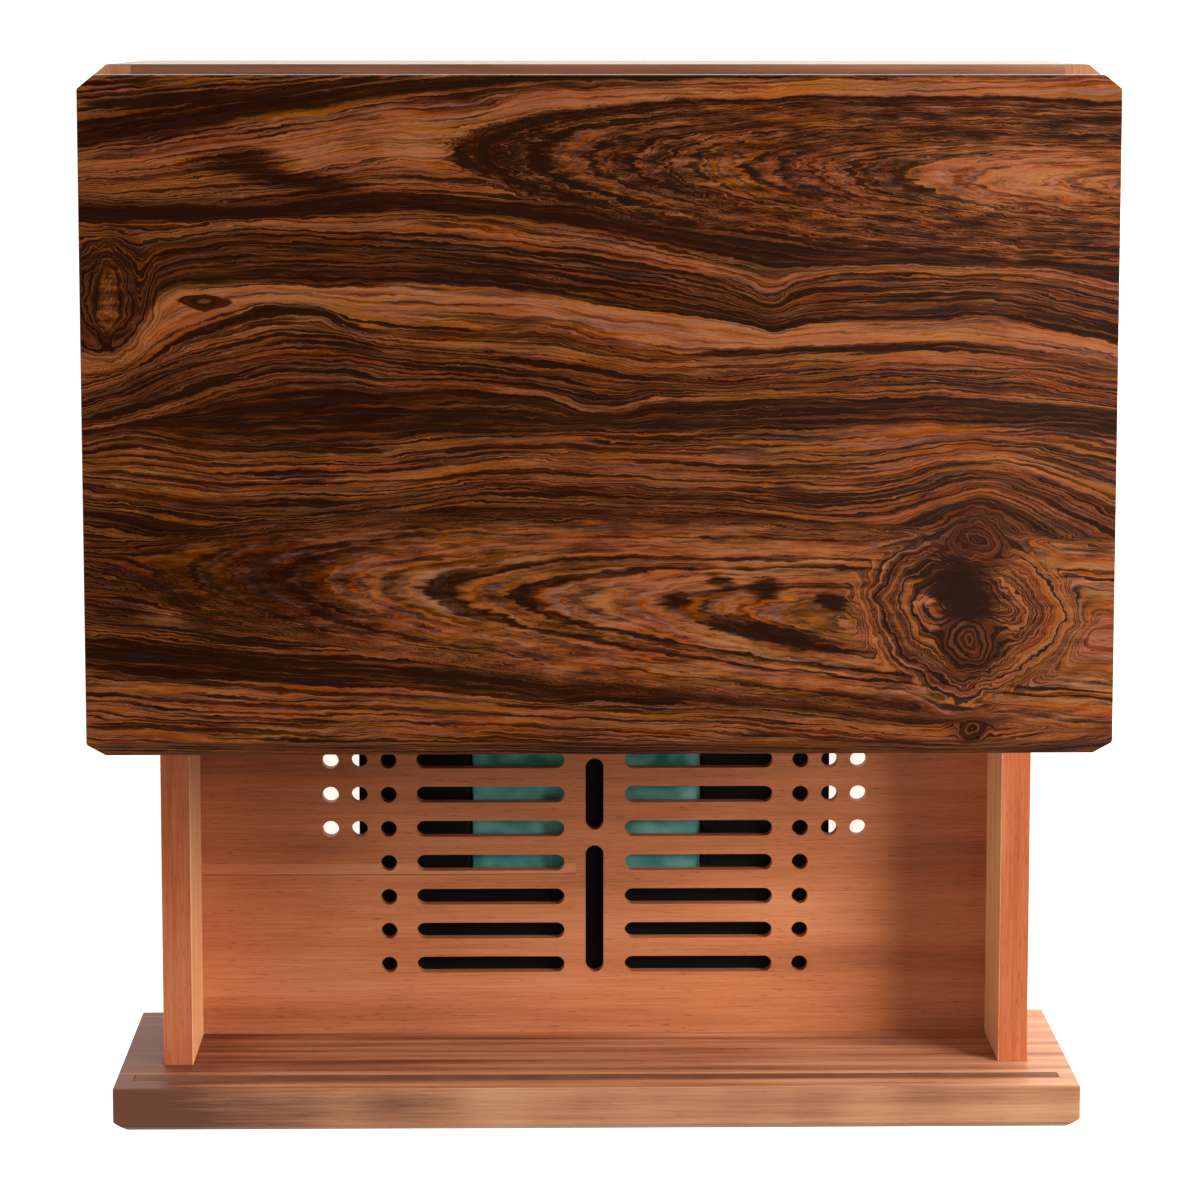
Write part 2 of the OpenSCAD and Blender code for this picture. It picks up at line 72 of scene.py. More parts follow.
def linear(hex_colour: str) -> tuple[float, float, float, float]:
    """Turns an sRGB hex colour into linear light.

    Args:
        hex_colour: Six hex digits after a hash sign.

    Returns:
        Linear red, green and blue, with an alpha of 1.
    """
    parts = [int(hex_colour[i : i + 2], 16) / 255 for i in (1, 3, 5)]
    red, green, blue = (c / 12.92 if c <= 0.04045 else ((c + 0.055) / 1.055) ** 2.4 for c in parts)
    return red, green, blue, 1.0


def add_node(tree: Tree, kind: str, links: Links | None = None, **settings: object) -> Node:
    """Adds a node, with its settings, its values and its links.

    Args:
        tree: The tree that gets the node.
        kind: Blender's name for the node's type.
        links: A value, socket or node for each input, by index or name.
        **settings: Properties of the node itself.

    Returns:
        The new node.
    """
    node = tree.nodes.new(kind)
    for name, value in settings.items():
        setattr(node, name, value)
    for key, value in (links or {}).items():
        source = value.outputs[0] if isinstance(value, Node) else value
        if isinstance(source, Socket):
            tree.links.new(source, node.inputs[key])
        else:
            node.inputs[key].default_value = source
    return node


def set_stops(ramp: Node, stops: Sequence[tuple[float, tuple]]) -> Node:
    """Gives a colour ramp its stops.

    Args:
        ramp: A colour ramp node.
        stops: Place from 0 to 1 and linear colour of each stop, in order.

    Returns:
        The same node.
    """
    elements = ramp.color_ramp.elements
    while len(elements) < len(stops):
        elements.new(1.0)
    for element, (place, colour) in zip(elements, stops):
        element.position = place
        element.color = colour
    return ramp


def grey(value: float) -> tuple[float, float, float, float]:
    """A grey of that value."""
    return value, value, value, 1.0


class Grain(Enum):
    """The axis that a board's grain runs along."""

    X = 0
    Y = 1

    def stretch(self, along: float, across: float) -> tuple[float, float, float]:
        """Pattern scale per metre for a figure of that length and width.

        Args:
            along: Length of the figure along the grain, in millimetres.
            across: Width of the figure across the grain, in millimetres.

        Returns:
            A scale for each axis.
        """
        return tuple(PER_MM / (along if axis == self.value else across) for axis in range(3))


@dataclass(frozen=True)
class Finish:
    """A surface finish, made once as a material of the same name."""

    name: str
    _: KW_ONLY
    # Colours, and the tones at which they stand
    colours: tuple[str, ...] = ()
    tones: tuple[float, ...] = ()
    roughness: float = 0.5
    # How far a figure swings the roughness, and where that swing starts
    gloss: tuple[float, float] = (0.0, 0.0)
    specular: float = 0.5
    # Strength and depth of the relief
    relief: float = 0.25
    relief_mm: float = 0.15

    def material(self) -> bpy.types.Material:
        """Builds the finish's material on its first use.

        Returns:
            The material.
        """
        found = bpy.data.materials.get(self.name)
        if found:
            return found
        made = bpy.data.materials.new(self.name)
        made.use_nodes = True
        made.node_tree.nodes.clear()
        shader = self.shade(made.node_tree)
        add_node(made.node_tree, "ShaderNodeOutputMaterial", {"Surface": shader})
        return made

    def shade(self, tree: Tree) -> Node:
        """Builds the nodes.

        Args:
            tree: The material's empty tree.

        Returns:
            The shader node at the end.
        """
        raise NotImplementedError

    def coloured(self, tree: Tree, tone: Node) -> Node:
        """Turns a tone into the finish's colours.

        Args:
            tree: The material's tree.
            tone: The tone, from 0 to 1.

        Returns:
            A node that gives the colour.
        """
        stops = [(place, linear(colour)) for place, colour in zip(self.tones, self.colours)]
        return set_stops(add_node(tree, "ShaderNodeValToRGB", {"Fac": tone}), stops)

    def surface(
        self, tree: Tree, colour: Node, figure: Node, height: Node, more: Links | None = None
    ) -> Node:
        """Lays the finish's gloss and relief over a colour.

        Args:
            tree: The material's tree.
            colour: The colour.
            figure: What swings the roughness.
            height: What makes the relief.
            more: Further inputs of the shader.

        Returns:
            The shader node.
        """
        swing, start = self.gloss
        smooth = self.roughness + start
        rough = add_node(tree, "ShaderNodeMath", {0: figure, 1: swing, 2: smooth}, operation="MULTIPLY_ADD")
        depth = self.relief_mm * MM
        relief = add_node(
            tree, "ShaderNodeBump", {"Height": height, "Strength": self.relief, "Distance": depth}
        )
        links = {
            "Base Color": colour, "Roughness": rough, "Normal": relief, "Specular IOR Level": self.specular
        }
        return add_node(tree, "ShaderNodeBsdfPrincipled", links | (more or {}))


@dataclass(frozen=True, kw_only=True)
class StraightGrainWood(Finish):
    """Planed mahogany, cedar or beech: soft ribbons of tone, fine fibres and short dark pores."""

    grain: Grain = Grain.X
    colours: tuple[str, ...] = ("#8a4a2c", "#b8673f", "#d08a5f")
    tones: tuple[float, ...] = (0.15, 0.5, 0.85)
    # How far each figure swings the tone, and its length and width in millimetres
    ribbon: float = 0.8
    ribbon_mm: tuple[float, float] = (320.0, 16.0)
    fibre: float = 0.45
    fibre_mm: tuple[float, float] = (34.0, 0.9)
    blotch: float = 0.35
    blotch_mm: tuple[float, float] = (75.0, 48.0)
    # Real pores are about 0.2 mm wide: they are drawn wider, so that they show
    pore: float = 0.22
    pore_mm: tuple[float, float] = (7.0, 0.55)
    # Noise at which a pore begins to open and is fully open
    pore_span: tuple[float, float] = (0.6, 0.74)
    # Painted light: tone gained in each metre towards +X, towards the lamp on the right
    painted_light_lean: float = 0.0
    # Painted shade: tone lost at the left end of a board with painted light, and the places where that
    # begins and ends
    painted_left_shade: float = 0.0
    painted_shade_x: tuple[float, float] = (-0.125, -0.2)
    gloss: tuple[float, float] = (0.2, -0.1)
    specular: float = 0.3
    seed: float = 0.0

    def figure(self, tree: Tree, size: tuple[float, float], detail: float) -> Node:
        """Adds noise that is stretched along the grain.

        Args:
            tree: The material's tree.
            size: Length and width of the figure, in millimetres.
            detail: Octaves of finer figure.

        Returns:
            The noise node.
        """
        where = add_node(tree, "ShaderNodeTexCoord").outputs["Object"]
        stretch = self.grain.stretch(*size)
        start = (self.seed, self.seed * 2, self.seed * 3)
        moved = add_node(tree, "ShaderNodeMapping", {"Vector": where, "Scale": stretch, "Location": start})
        return add_node(
            tree, "ShaderNodeTexNoise", {"Vector": moved, "Scale": 1.0, "Detail": detail, "Roughness": 0.55}
        )

    def tone(self, tree: Tree, ribbons: Node, fibres: Node) -> Node:
        """Adds the tone of ribbons and fibres together.

        Args:
            tree: The material's tree.
            ribbons: Broad figure.
            fibres: Fine figure.

        Returns:
            A node that gives the tone.
        """
        start = 0.5 - 0.5 * self.ribbon
        broad = add_node(
            tree, "ShaderNodeMath", {0: ribbons, 1: self.ribbon, 2: start}, operation="MULTIPLY_ADD"
        )
        fine = add_node(
            tree,
            "ShaderNodeMath",
            {0: fibres, 1: self.fibre, 2: -0.5 * self.fibre},
            operation="MULTIPLY_ADD",
        )
        return add_node(tree, "ShaderNodeMath", {0: broad, 1: fine}, operation="ADD")

    def painted_light_slope(self, tree: Tree, tone: Node) -> Node:
        """Paints light that rises along the board towards the lamp on the right, and shade at its left end.

        Args:
            tree: The material's tree.
            tone: The tone so far.

        Returns:
            A node for the new tone.
        """
        where = add_node(tree, "ShaderNodeTexCoord").outputs["Object"]
        x = add_node(tree, "ShaderNodeSeparateXYZ", {"Vector": where}).outputs["X"]
        # Painted light: the tone rises towards the lamp on the right
        painted_light_tone = add_node(tree, "ShaderNodeMath", {0: x, 1: self.painted_light_lean, 2: tone}, operation="MULTIPLY_ADD")
        begin, end = self.painted_shade_x
        # Painted shade at the left end, away from the lamp
        painted_shade_drop = add_node(
            tree,
            "ShaderNodeMapRange",
            {"Value": x, "From Min": begin, "From Max": end, "To Min": 0.0, "To Max": self.painted_left_shade},
            interpolation_type="SMOOTHSTEP",
        )
        return add_node(tree, "ShaderNodeMath", {0: painted_light_tone, 1: painted_shade_drop}, operation="SUBTRACT")

    def shade(self, tree: Tree) -> Node:
        """Builds colour from ribbons, fibres and pores, and a fine relief from the last two.

        Args:
            tree: The material's tree.

        Returns:
            The shader node at the end.
        """
        ribbons = self.figure(tree, self.ribbon_mm, 2.0)
        fibres = self.figure(tree, self.fibre_mm, 3.0)
        pores = self.figure(tree, self.pore_mm, 1.0)
        blotches = self.figure(tree, self.blotch_mm, 1.0)
        shut, wide = self.pore_span
        open_pores = add_node(
            tree,
            "ShaderNodeMapRange",
            {"Value": pores, "From Min": shut, "From Max": wide, "To Min": 0.0, "To Max": self.pore},
            interpolation_type="SMOOTHSTEP",
        )
        cloud = add_node(
            tree,
            "ShaderNodeMath",
            {0: blotches, 1: self.blotch, 2: -0.5 * self.blotch},
            operation="MULTIPLY_ADD",
        )
        plain = self.tone(tree, ribbons, fibres)
        tone = add_node(tree, "ShaderNodeMath", {0: plain, 1: cloud}, operation="ADD")
        # Painted light along the board and painted shade at its left end, where the finish asks for them
        if self.painted_light_lean:
            tone = self.painted_light_slope(tree, tone)
        pored = add_node(
            tree, "ShaderNodeMath", {0: tone, 1: open_pores}, operation="SUBTRACT", use_clamp=True
        )
        height = add_node(tree, "ShaderNodeMath", {0: fibres, 1: open_pores}, operation="SUBTRACT")
        return self.surface(tree, self.coloured(tree, pored), fibres, height)


@dataclass(frozen=True, kw_only=True)
class JointedFloorWood(StraightGrainWood):
    """Cedar glued up from two boards: a pale strip runs along the glue line on one side of the spine."""

    # Place of the glue line, half of its width, width of the strip and place of its end
    glue_y: float = -0.2161
    glue_half: float = 0.25 * MM
    strip_w: float = 0.0048
    end_x: float = -0.008
    # Tone that the strip gains and that the glue line loses
    strip_gain: float = 0.16
    glue_loss: float = 0.4

    def tone(self, tree: Tree, ribbons: Node, fibres: Node) -> Node:
        """Adds the pale strip and the dark glue line to the tone.

        Args:
            tree: The material's tree.
            ribbons: Broad figure.
            fibres: Fine figure.

        Returns:
            A node that gives the tone.
        """
        plain = super().tone(tree, ribbons, fibres)
        where = add_node(tree, "ShaderNodeTexCoord").outputs["Object"]
        x, y, _ = add_node(tree, "ShaderNodeSeparateXYZ", {"Vector": where}).outputs
        side = add_node(tree, "ShaderNodeMath", {0: x, 1: self.end_x}, operation="LESS_THAN")
        half = self.strip_w / 2
        pale = add_node(tree, "ShaderNodeMath", {0: y, 1: self.glue_y + half, 2: half}, operation="COMPARE")
        line = add_node(
            tree, "ShaderNodeMath", {0: y, 1: self.glue_y, 2: self.glue_half}, operation="COMPARE"
        )
        paler = add_node(
            tree, "ShaderNodeMath", {0: pale, 1: self.strip_gain, 2: plain}, operation="MULTIPLY_ADD"
        )
        lined = add_node(
            tree, "ShaderNodeMath", {0: line, 1: -self.glue_loss, 2: paler}, operation="MULTIPLY_ADD"
        )
        return add_node(tree, "ShaderNodeMix", {0: side, 2: plain, 3: lined}, data_type="FLOAT")


class Edge(Enum):
    """How the outline and the rings of an island run."""

    CLEAN = 0
    FRAYED = 1
    GNARLED = 2


@dataclass(frozen=True)
class GrainLine:
    """A grain line drawn across the lid.

    The level is the line's place in the order of growth, in nominal millimetres, and the points are
    millimetres from the lid's left edge and from its back edge.
    """

    level: float
    points: tuple[tuple[float, float], ...]


@dataclass(frozen=True)
class Island:
    """A knot, eye or flame that the grain flows round, with its own rings."""

    centre: tuple[float, float]
    radii: tuple[float, float]
    tilt: float
    tones: Stops
    # Order of growth at the centre and at the edge, in millimetres
    rings: tuple[float, float]
    edge: float = 0.1
    mottle: float = 0.1
    ink: float = 1.0
    run: Edge = Edge.GNARLED
    # 0 for an oval, 1 for a diamond
    diamond: float = 0.0


@dataclass(frozen=True)
class Patch:
    """A soft-edged place where the wood is lighter or darker, or where light or shade is painted."""

    centre: tuple[float, float]
    radii: tuple[float, float]
    tilt: float
    gain: float


@dataclass
class FigureNodes:
    """A figure: place along the grain, order of growth, tone, and strength of flecks and of lines."""

    along: Socket
    growth: Node
    tone: Node
    mottle: object
    ink: object = 1.0


@dataclass(frozen=True)
class StraightFigure:
    """Plain sawn figure: long wandering lines, for the case and the rails."""

    grain: Grain
    band_mm: float = 15.0
    slope: float = 0.8
    # Size of a wander along and across the grain, and its swing, in millimetres
    wander: tuple[tuple[tuple[float, float], float], ...] = (
        ((210.0, 42.0), 34.0), ((40.0, 11.0), 4.0), ((10.0, 3.2), 1.1),
    )
    # Range of noise in the bands, and the tones that it gives
    band_span: tuple[float, float] = (0.35, 0.65)
    tone_span: tuple[float, float] = (0.12, 0.85)
    mottle: float = 0.2
    seed: float = 0.0

    def field(self, tree: Tree) -> FigureNodes:
        """Builds the figure.

        Args:
            tree: The material's tree.

        Returns:
            The figure's nodes.
        """
        where = add_node(tree, "ShaderNodeTexCoord").outputs["Object"]
        start = (self.seed,) * 3
        place = add_node(
            tree, "ShaderNodeMapping", {"Vector": where, "Scale": (PER_MM,) * 3, "Location": start}
        )
        split = add_node(tree, "ShaderNodeSeparateXYZ", {"Vector": place}).outputs
        first, second = (split[axis] for axis in range(3) if axis != self.grain.value)
        growth = add_node(
            tree, "ShaderNodeMath", {0: first, 1: self.slope, 2: second}, operation="MULTIPLY_ADD"
        )
        for (length, width), swing in self.wander:
            stretch = tuple(1 / (length if axis == self.grain.value else width) for axis in range(3))
            scaled = add_node(tree, "ShaderNodeMapping", {"Vector": place, "Scale": stretch})
            drift = add_node(tree, "ShaderNodeTexNoise", {"Vector": scaled, "Scale": 1.0, "Detail": 1.0})
            growth = add_node(
                tree, "ShaderNodeMath", {0: drift, 1: swing, 2: growth}, operation="MULTIPLY_ADD"
            )
        band_place = add_node(
            tree, "ShaderNodeMath", {0: growth, 1: 1 / self.band_mm}, operation="MULTIPLY"
        )
        bands = add_node(
            tree,
            "ShaderNodeTexNoise",
            {"W": band_place, "Scale": 1.0, "Detail": 2.0},
            noise_dimensions="1D",
        )
        low, high = self.band_span
        dark, light = self.tone_span
        tone = add_node(
            tree,
            "ShaderNodeMapRange",
            {"Value": bands, "From Min": low, "From Max": high, "To Min": dark, "To Max": light},
        )
        return FigureNodes(split[self.grain.value], growth, tone, self.mottle)


@dataclass(frozen=True)
class LidFigure:
    """The lid's own figure: grain lines drawn one by one, with a flame, loops and knots between them."""

    length: float
    origin: tuple[float, float, float]
    lines: tuple[GrainLine, ...]
    tones: Stops
    islands: tuple[Island, ...]
    patches: tuple[Patch, ...]
    # Range of the curves, in millimetres from the back edge
    curve_y0: float = -20.0
    curve_span: float = 340.0
    end_slope: float = 0.7
    # Size of a wander along and across the grain, and its swing, in millimetres
    wander: tuple[tuple[tuple[float, float], float], ...] = (
        ((34.0, 10.0), 2.4), ((9.0, 3.0), 1.0), ((3.6, 1.3), 0.5),
    )
    fray_mm: tuple[float, float] = (11.0, 1.7)
    fray: float = 8.0
    # Size and swing of the gnarled growth round knots, in millimetres
    gnarl: tuple[tuple[float, float], ...] = ((24.0, 5.0), (8.0, 2.6), (3.0, 1.0))
    mottle: float = 0.5

    def field(self, tree: Tree) -> FigureNodes:
        """Builds the figure.

        Args:
            tree: The material's tree.

        Returns:
            The figure's nodes.
        """
        where = add_node(tree, "ShaderNodeTexCoord").outputs["Object"]
        place = add_node(
            tree,
            "ShaderNodeMapping",
            {"Vector": where, "Scale": (PER_MM, -PER_MM, -PER_MM), "Location": self.origin},
        )
        clean, across = self.wandering(tree, place)
        frayed = self.frayed(tree, place, clean)
        growth, tone = self.flow(tree, clean, across)
        nodes = FigureNodes(clean, growth, tone, self.mottle)
        spots = {
            Edge.CLEAN: add_node(tree, "ShaderNodeCombineXYZ", {"X": clean, "Y": across}),
            Edge.FRAYED: add_node(tree, "ShaderNodeCombineXYZ", {"X": frayed, "Y": across}),
        }
        spots[Edge.GNARLED] = self.gnarled(tree, place, spots[Edge.CLEAN])
        for island in self.islands:
            self.lay_island(tree, island, spots[island.run], nodes)
        for patch in self.patches:
            self.lay_patch(tree, patch, spots[Edge.FRAYED], nodes)
        return nodes

    def wandering(self, tree: Tree, place: Node) -> tuple[Socket, Node]:
        """Lets the figure wander a little across the grain.

        Args:
            tree: The material's tree.
            place: Millimetres from the left edge, the back edge and the top.

        Returns:
            The place along the grain and a node for the place across it.
        """
        split = add_node(tree, "ShaderNodeSeparateXYZ", {"Vector": place})
        level = split.outputs["Y"]
        for (length, width), swing in self.wander:
            stretch = (1 / length, 1 / width, 1 / width)
            moved = add_node(tree, "ShaderNodeMapping", {"Vector": place, "Scale": stretch})
            noise = add_node(tree, "ShaderNodeTexNoise", {"Vector": moved, "Scale": 1.0, "Detail": 2.0})
            shift = add_node(
                tree, "ShaderNodeMath", {0: noise, 1: 2 * swing, 2: -swing}, operation="MULTIPLY_ADD"
            )
            level = add_node(tree, "ShaderNodeMath", {0: level, 1: shift}, operation="ADD")
        across = add_node(
            tree,
            "ShaderNodeMath",
            {0: split.outputs["Z"], 1: self.end_slope, 2: level},
            operation="MULTIPLY_ADD",
        )
        return split.outputs["X"], across

    def frayed(self, tree: Tree, place: Node, along: Socket) -> Node:
        """Frays the figure along the fibres.

        Args:
            tree: The material's tree.
            place: Millimetres from the left edge, the back edge and the top.
            along: The clean place along the grain.

        Returns:
            A node for the frayed place along the grain.
        """
        long_way, cross_way = self.fray_mm
        stretch = (1 / long_way, 1 / cross_way, 1 / cross_way)
        moved = add_node(tree, "ShaderNodeMapping", {"Vector": place, "Scale": stretch})
        noise = add_node(tree, "ShaderNodeTexNoise", {"Vector": moved, "Scale": 1.0, "Detail": 3.0})
        swing = add_node(
            tree, "ShaderNodeMath", {0: noise, 1: 2 * self.fray, 2: -self.fray}, operation="MULTIPLY_ADD"
        )
        return add_node(tree, "ShaderNodeMath", {0: along, 1: swing}, operation="ADD")

    def gnarled(self, tree: Tree, place: Node, spot: Node) -> Node:
        """Twists the figure both ways, as growth does round a knot.

        Args:
            tree: The material's tree.
            place: Millimetres from the left edge, the back edge and the top.
            spot: Millimetres from the left and back edges.

        Returns:
            A node for the twisted spot.
        """
        for size, swing in self.gnarl:
            noise = add_node(
                tree, "ShaderNodeTexNoise", {"Vector": place, "Scale": 1 / size, "Detail": 1.0}
            )
            centred = add_node(
                tree,
                "ShaderNodeVectorMath",
                {0: noise.outputs["Color"], 1: (0.5,) * 3},
                operation="SUBTRACT",
            )
            both_ways = (2 * swing, 2 * swing, 0.0)
            spot = add_node(
                tree, "ShaderNodeVectorMath", {0: centred, 1: both_ways, 2: spot}, operation="MULTIPLY_ADD"
            )
        return spot

    def flow(self, tree: Tree, along: Socket, across: Node) -> tuple[Node, Node]:
        """Interpolates the order of growth between the drawn lines.

        Args:
            tree: The material's tree.
            along: Place along the grain, in millimetres.
            across: Place across the grain, in millimetres.

        Returns:
            Nodes for the order of growth and the tone.
        """
        share = add_node(
            tree, "ShaderNodeMath", {0: along, 1: self.length}, operation="DIVIDE", use_clamp=True
        )
        depth = add_node(
            tree,
            "ShaderNodeMath",
            {0: across, 1: 1 / self.curve_span, 2: -self.curve_y0 / self.curve_span},
            operation="MULTIPLY_ADD",
        )
        curves = [self.curve(tree, line, share) for line in self.lines]
        growth: object = self.lines[0].level
        for (line, curve), (next_line, next_curve) in pairwise(zip(self.lines, curves)):
            rise = next_line.level - line.level
            step = add_node(
                tree,
                "ShaderNodeMapRange",
                {"Value": depth, "From Min": curve, "From Max": next_curve, "To Min": 0.0, "To Max": rise},
            )
            growth = add_node(tree, "ShaderNodeMath", {0: step, 1: growth}, operation="ADD")
        low, high = self.tones[0][0], self.tones[-1][0]
        ramp_place = add_node(
            tree,
            "ShaderNodeMapRange",
            {"Value": growth, "From Min": low, "From Max": high, "To Min": 0.0, "To Max": 1.0},
        )
        stops = [((level - low) / (high - low), grey(tone)) for level, tone in self.tones]
        tone = set_stops(add_node(tree, "ShaderNodeValToRGB", {"Fac": ramp_place}), stops)
        return growth, tone

    def curve(self, tree: Tree, line: GrainLine, share: Node) -> Node:
        """Adds the curve of one grain line.

        Args:
            tree: The material's tree.
            line: The line.
            share: Place along the lid, from 0 to 1.

        Returns:
            A node that gives the line's place across the lid, from 0 to 1.
        """
        node = add_node(tree, "ShaderNodeFloatCurve", {"Value": share})
        points = node.mapping.curves[0].points
        while len(points) < len(line.points):
            points.new(0.5, 0.5)
        for point, (x, y) in zip(points, line.points):
            point.location = (x / self.length, (y - self.curve_y0) / self.curve_span)
            point.handle_type = "AUTO_CLAMPED"
        node.mapping.update()
        return node

    def reach(self, tree: Tree, place: Union[Island, Patch], spot: Node) -> Node:
        """Adds the distance from an oval's centre, 1 on its edge.

        Args:
            tree: The material's tree.
            place: The island or patch.
            spot: Millimetres from the left and back edges.

        Returns:
            The mapping node, whose vector's length is the distance.
        """
        return add_node(
            tree,
            "ShaderNodeMapping",
            {
                "Vector": spot,
                "Location": (*place.centre, 0.0),
                "Rotation": (0.0, 0.0, math.radians(place.tilt)),
                "Scale": (*place.radii, 1.0),
            },
            vector_type="TEXTURE",
        )

    def lay_patch(self, tree: Tree, patch: Patch, spot: Node, nodes: FigureNodes) -> None:
        """Lightens or darkens the tone at a patch.

        Args:
            tree: The material's tree.
            patch: The patch.
            spot: Millimetres from the left and back edges.
            nodes: The figure so far, whose tone is changed.
        """
        reach = self.reach(tree, patch, spot)
        fall = add_node(tree, "ShaderNodeTexGradient", {"Vector": reach}, gradient_type="SPHERICAL")
        nodes.tone = add_node(
            tree,
            "ShaderNodeMath",
            {0: fall.outputs[1], 1: patch.gain, 2: nodes.tone},
            operation="MULTIPLY_ADD",
        )

    def lay_island(self, tree: Tree, island: Island, spot: Node, nodes: FigureNodes) -> None:
        """Lays an island's rings over the flow.

        Args:
            tree: The material's tree.
            island: The island.
            spot: Millimetres from the left and back edges.
            nodes: The figure so far, which is changed.
        """
        reach = self.reach(tree, island, spot)
        oval = add_node(tree, "ShaderNodeVectorMath", {0: reach}, operation="LENGTH").outputs["Value"]
        sides = add_node(tree, "ShaderNodeVectorMath", {0: reach}, operation="ABSOLUTE")
        diamond = add_node(
            tree, "ShaderNodeVectorMath", {0: sides, 1: (1.0, 1.0, 0.0)}, operation="DOT_PRODUCT"
        ).outputs["Value"]
        distance = add_node(
            tree, "ShaderNodeMix", {0: island.diamond, 2: oval, 3: diamond}, data_type="FLOAT"
        )
        outside, within = 1 + island.edge, 1 - island.edge
        inside = add_node(
            tree,
            "ShaderNodeMapRange",
            {"Value": distance, "From Min": outside, "From Max": within, "To Min": 0.0, "To Max": 1.0},
            interpolation_type="SMOOTHSTEP",
        )
        inner, outer = island.rings
        rings = add_node(
            tree, "ShaderNodeMath", {0: distance, 1: outer - inner, 2: inner}, operation="MULTIPLY_ADD"
        )
        stops = [(at, grey(value)) for at, value in island.tones]
        own = set_stops(add_node(tree, "ShaderNodeValToRGB", {"Fac": distance}), stops)
        nodes.growth = add_node(
            tree, "ShaderNodeMix", {0: inside, 2: nodes.growth, 3: rings}, data_type="FLOAT"
        )
        nodes.tone = add_node(tree, "ShaderNodeMix", {0: inside, 2: nodes.tone, 3: own}, data_type="FLOAT")
        nodes.mottle = add_node(
            tree, "ShaderNodeMix", {0: inside, 2: nodes.mottle, 3: island.mottle}, data_type="FLOAT"
        )
        nodes.ink = add_node(
            tree, "ShaderNodeMix", {0: inside, 2: nodes.ink, 3: island.ink}, data_type="FLOAT"
        )


@dataclass(frozen=True, kw_only=True)
class RosewoodVeneer(Finish):
    """Polished rosewood: black growth lines of every width in orange-brown wood, under a satin lacquer."""

    figure: Union[StraightFigure, LidFigure]
    colours: tuple[str, ...] = ("#220d03", "#361807", "#582e16", "#7f4624", "#955b38")
    tones: tuple[float, ...] = (0.0, 0.22, 0.45, 0.7, 1.0)
    # Length and width of bands, black growth lines, finer lines, fibres and flecks, in millimetres
    band_mm: tuple[float, float] = (100.0, 3.0)
    line_mm: tuple[float, float] = (120.0, 1.4)
    fine_mm: tuple[float, float] = (60.0, 0.65)
    hair_mm: tuple[float, float] = (20.0, 0.5)
    fleck_mm: tuple[float, float] = (13.0, 2.4)
    # How far bands and fibres swing the tone, and where that swing starts
    band_swing: tuple[float, float] = (0.55, -0.25)
    hair_swing: tuple[float, float] = (0.55, -0.2)
    # Depth of the growth lines on dark and on light wood, and the tones of such wood
    ink: tuple[float, float] = (0.46, 0.28)
    ink_tones: tuple[float, float] = (0.35, 0.85)
    fine_ink: float = 0.24
    # Noise at a line's edge and at its full depth
    line_edge: tuple[float, float] = (0.49, 0.44)
    # Length and width of a drift in hue, in millimetres
    drift_mm: tuple[float, float] = (60.0, 6.0)
    # Range of noise, and the hue and the strength of colour that it gives
    noise_span: tuple[float, float] = (0.3, 0.7)
    hue_span: tuple[float, float] = (0.493, 0.506)
    strength_span: tuple[float, float] = (0.86, 1.12)
    roughness: float = 0.28
    gloss: tuple[float, float] = (0.12, -0.06)
    specular: float = 0.12
    coat: float = 0.02
    coat_roughness: float = 0.12
    relief: float = 0.12
    relief_mm: float = 0.1

    def streaks(
        self, tree: Tree, nodes: FigureNodes, size: tuple[float, float], detail: float = 1.0
    ) -> Node:
        """Adds lines that follow the grain and fade in and out along it.

        Args:
            tree: The material's tree.
            nodes: The figure.
            size: Length and width of a line, in millimetres.
            detail: Octaves of finer lines.

        Returns:
            The noise node.
        """
        spot = add_node(tree, "ShaderNodeCombineXYZ", {"X": nodes.along, "Y": nodes.growth})
        stretch = (1 / size[0], 1 / size[1], 1.0)
        scaled = add_node(tree, "ShaderNodeMapping", {"Vector": spot, "Scale": stretch})
        return add_node(
            tree,
            "ShaderNodeTexNoise",
            {"Vector": scaled, "Scale": 1.0, "Detail": detail, "Roughness": 0.6},
            noise_dimensions="2D",
        )

    def mottled(self, tree: Tree, mottle: object, tone: Node) -> Node:
        """Adds short feathery flecks along the grain.

        Args:
            tree: The material's tree.
            mottle: How strong the flecks are.
            tone: The tone so far.

        Returns:
            A node for the new tone.
        """
        where = add_node(tree, "ShaderNodeTexCoord").outputs["Object"]
        stretch = Grain.X.stretch(*self.fleck_mm)
        scaled = add_node(tree, "ShaderNodeMapping", {"Vector": where, "Scale": stretch})
        flecks = add_node(
            tree, "ShaderNodeTexNoise", {"Vector": scaled, "Scale": 1.0, "Detail": 3.0, "Roughness": 0.6}
        )
        centred = add_node(tree, "ShaderNodeMath", {0: flecks, 1: 0.5}, operation="SUBTRACT")
        return add_node(tree, "ShaderNodeMath", {0: centred, 1: mottle, 2: tone}, operation="MULTIPLY_ADD")

    def lined(self, tree: Tree, nodes: FigureNodes, fine: Node, tone: Node) -> Node:
        """Draws the black growth lines and the finer lines between them.

        Args:
            tree: The material's tree.
            nodes: The figure.
            fine: Noise of the finer lines.
            tone: The tone so far.

        Returns:
            A node for the new tone.
        """
        dark, light = self.ink_tones
        deep, faint = self.ink
        ink = add_node(
            tree,
            "ShaderNodeMapRange",
            {"Value": nodes.tone, "From Min": dark, "From Max": light, "To Min": deep, "To Max": faint},
        )
        lines = self.streaks(tree, nodes, self.line_mm)
        edge, full = self.line_edge
        for noise, depth in ((lines, ink), (fine, self.fine_ink)):
            inked = add_node(tree, "ShaderNodeMath", {0: nodes.ink, 1: depth}, operation="MULTIPLY")
            drawn = add_node(
                tree,
                "ShaderNodeMapRange",
                {"Value": noise, "From Min": edge, "From Max": full, "To Min": 0.0, "To Max": inked},
                interpolation_type="SMOOTHSTEP",
            )
            tone = add_node(tree, "ShaderNodeMath", {0: tone, 1: drawn}, operation="SUBTRACT")
        return tone

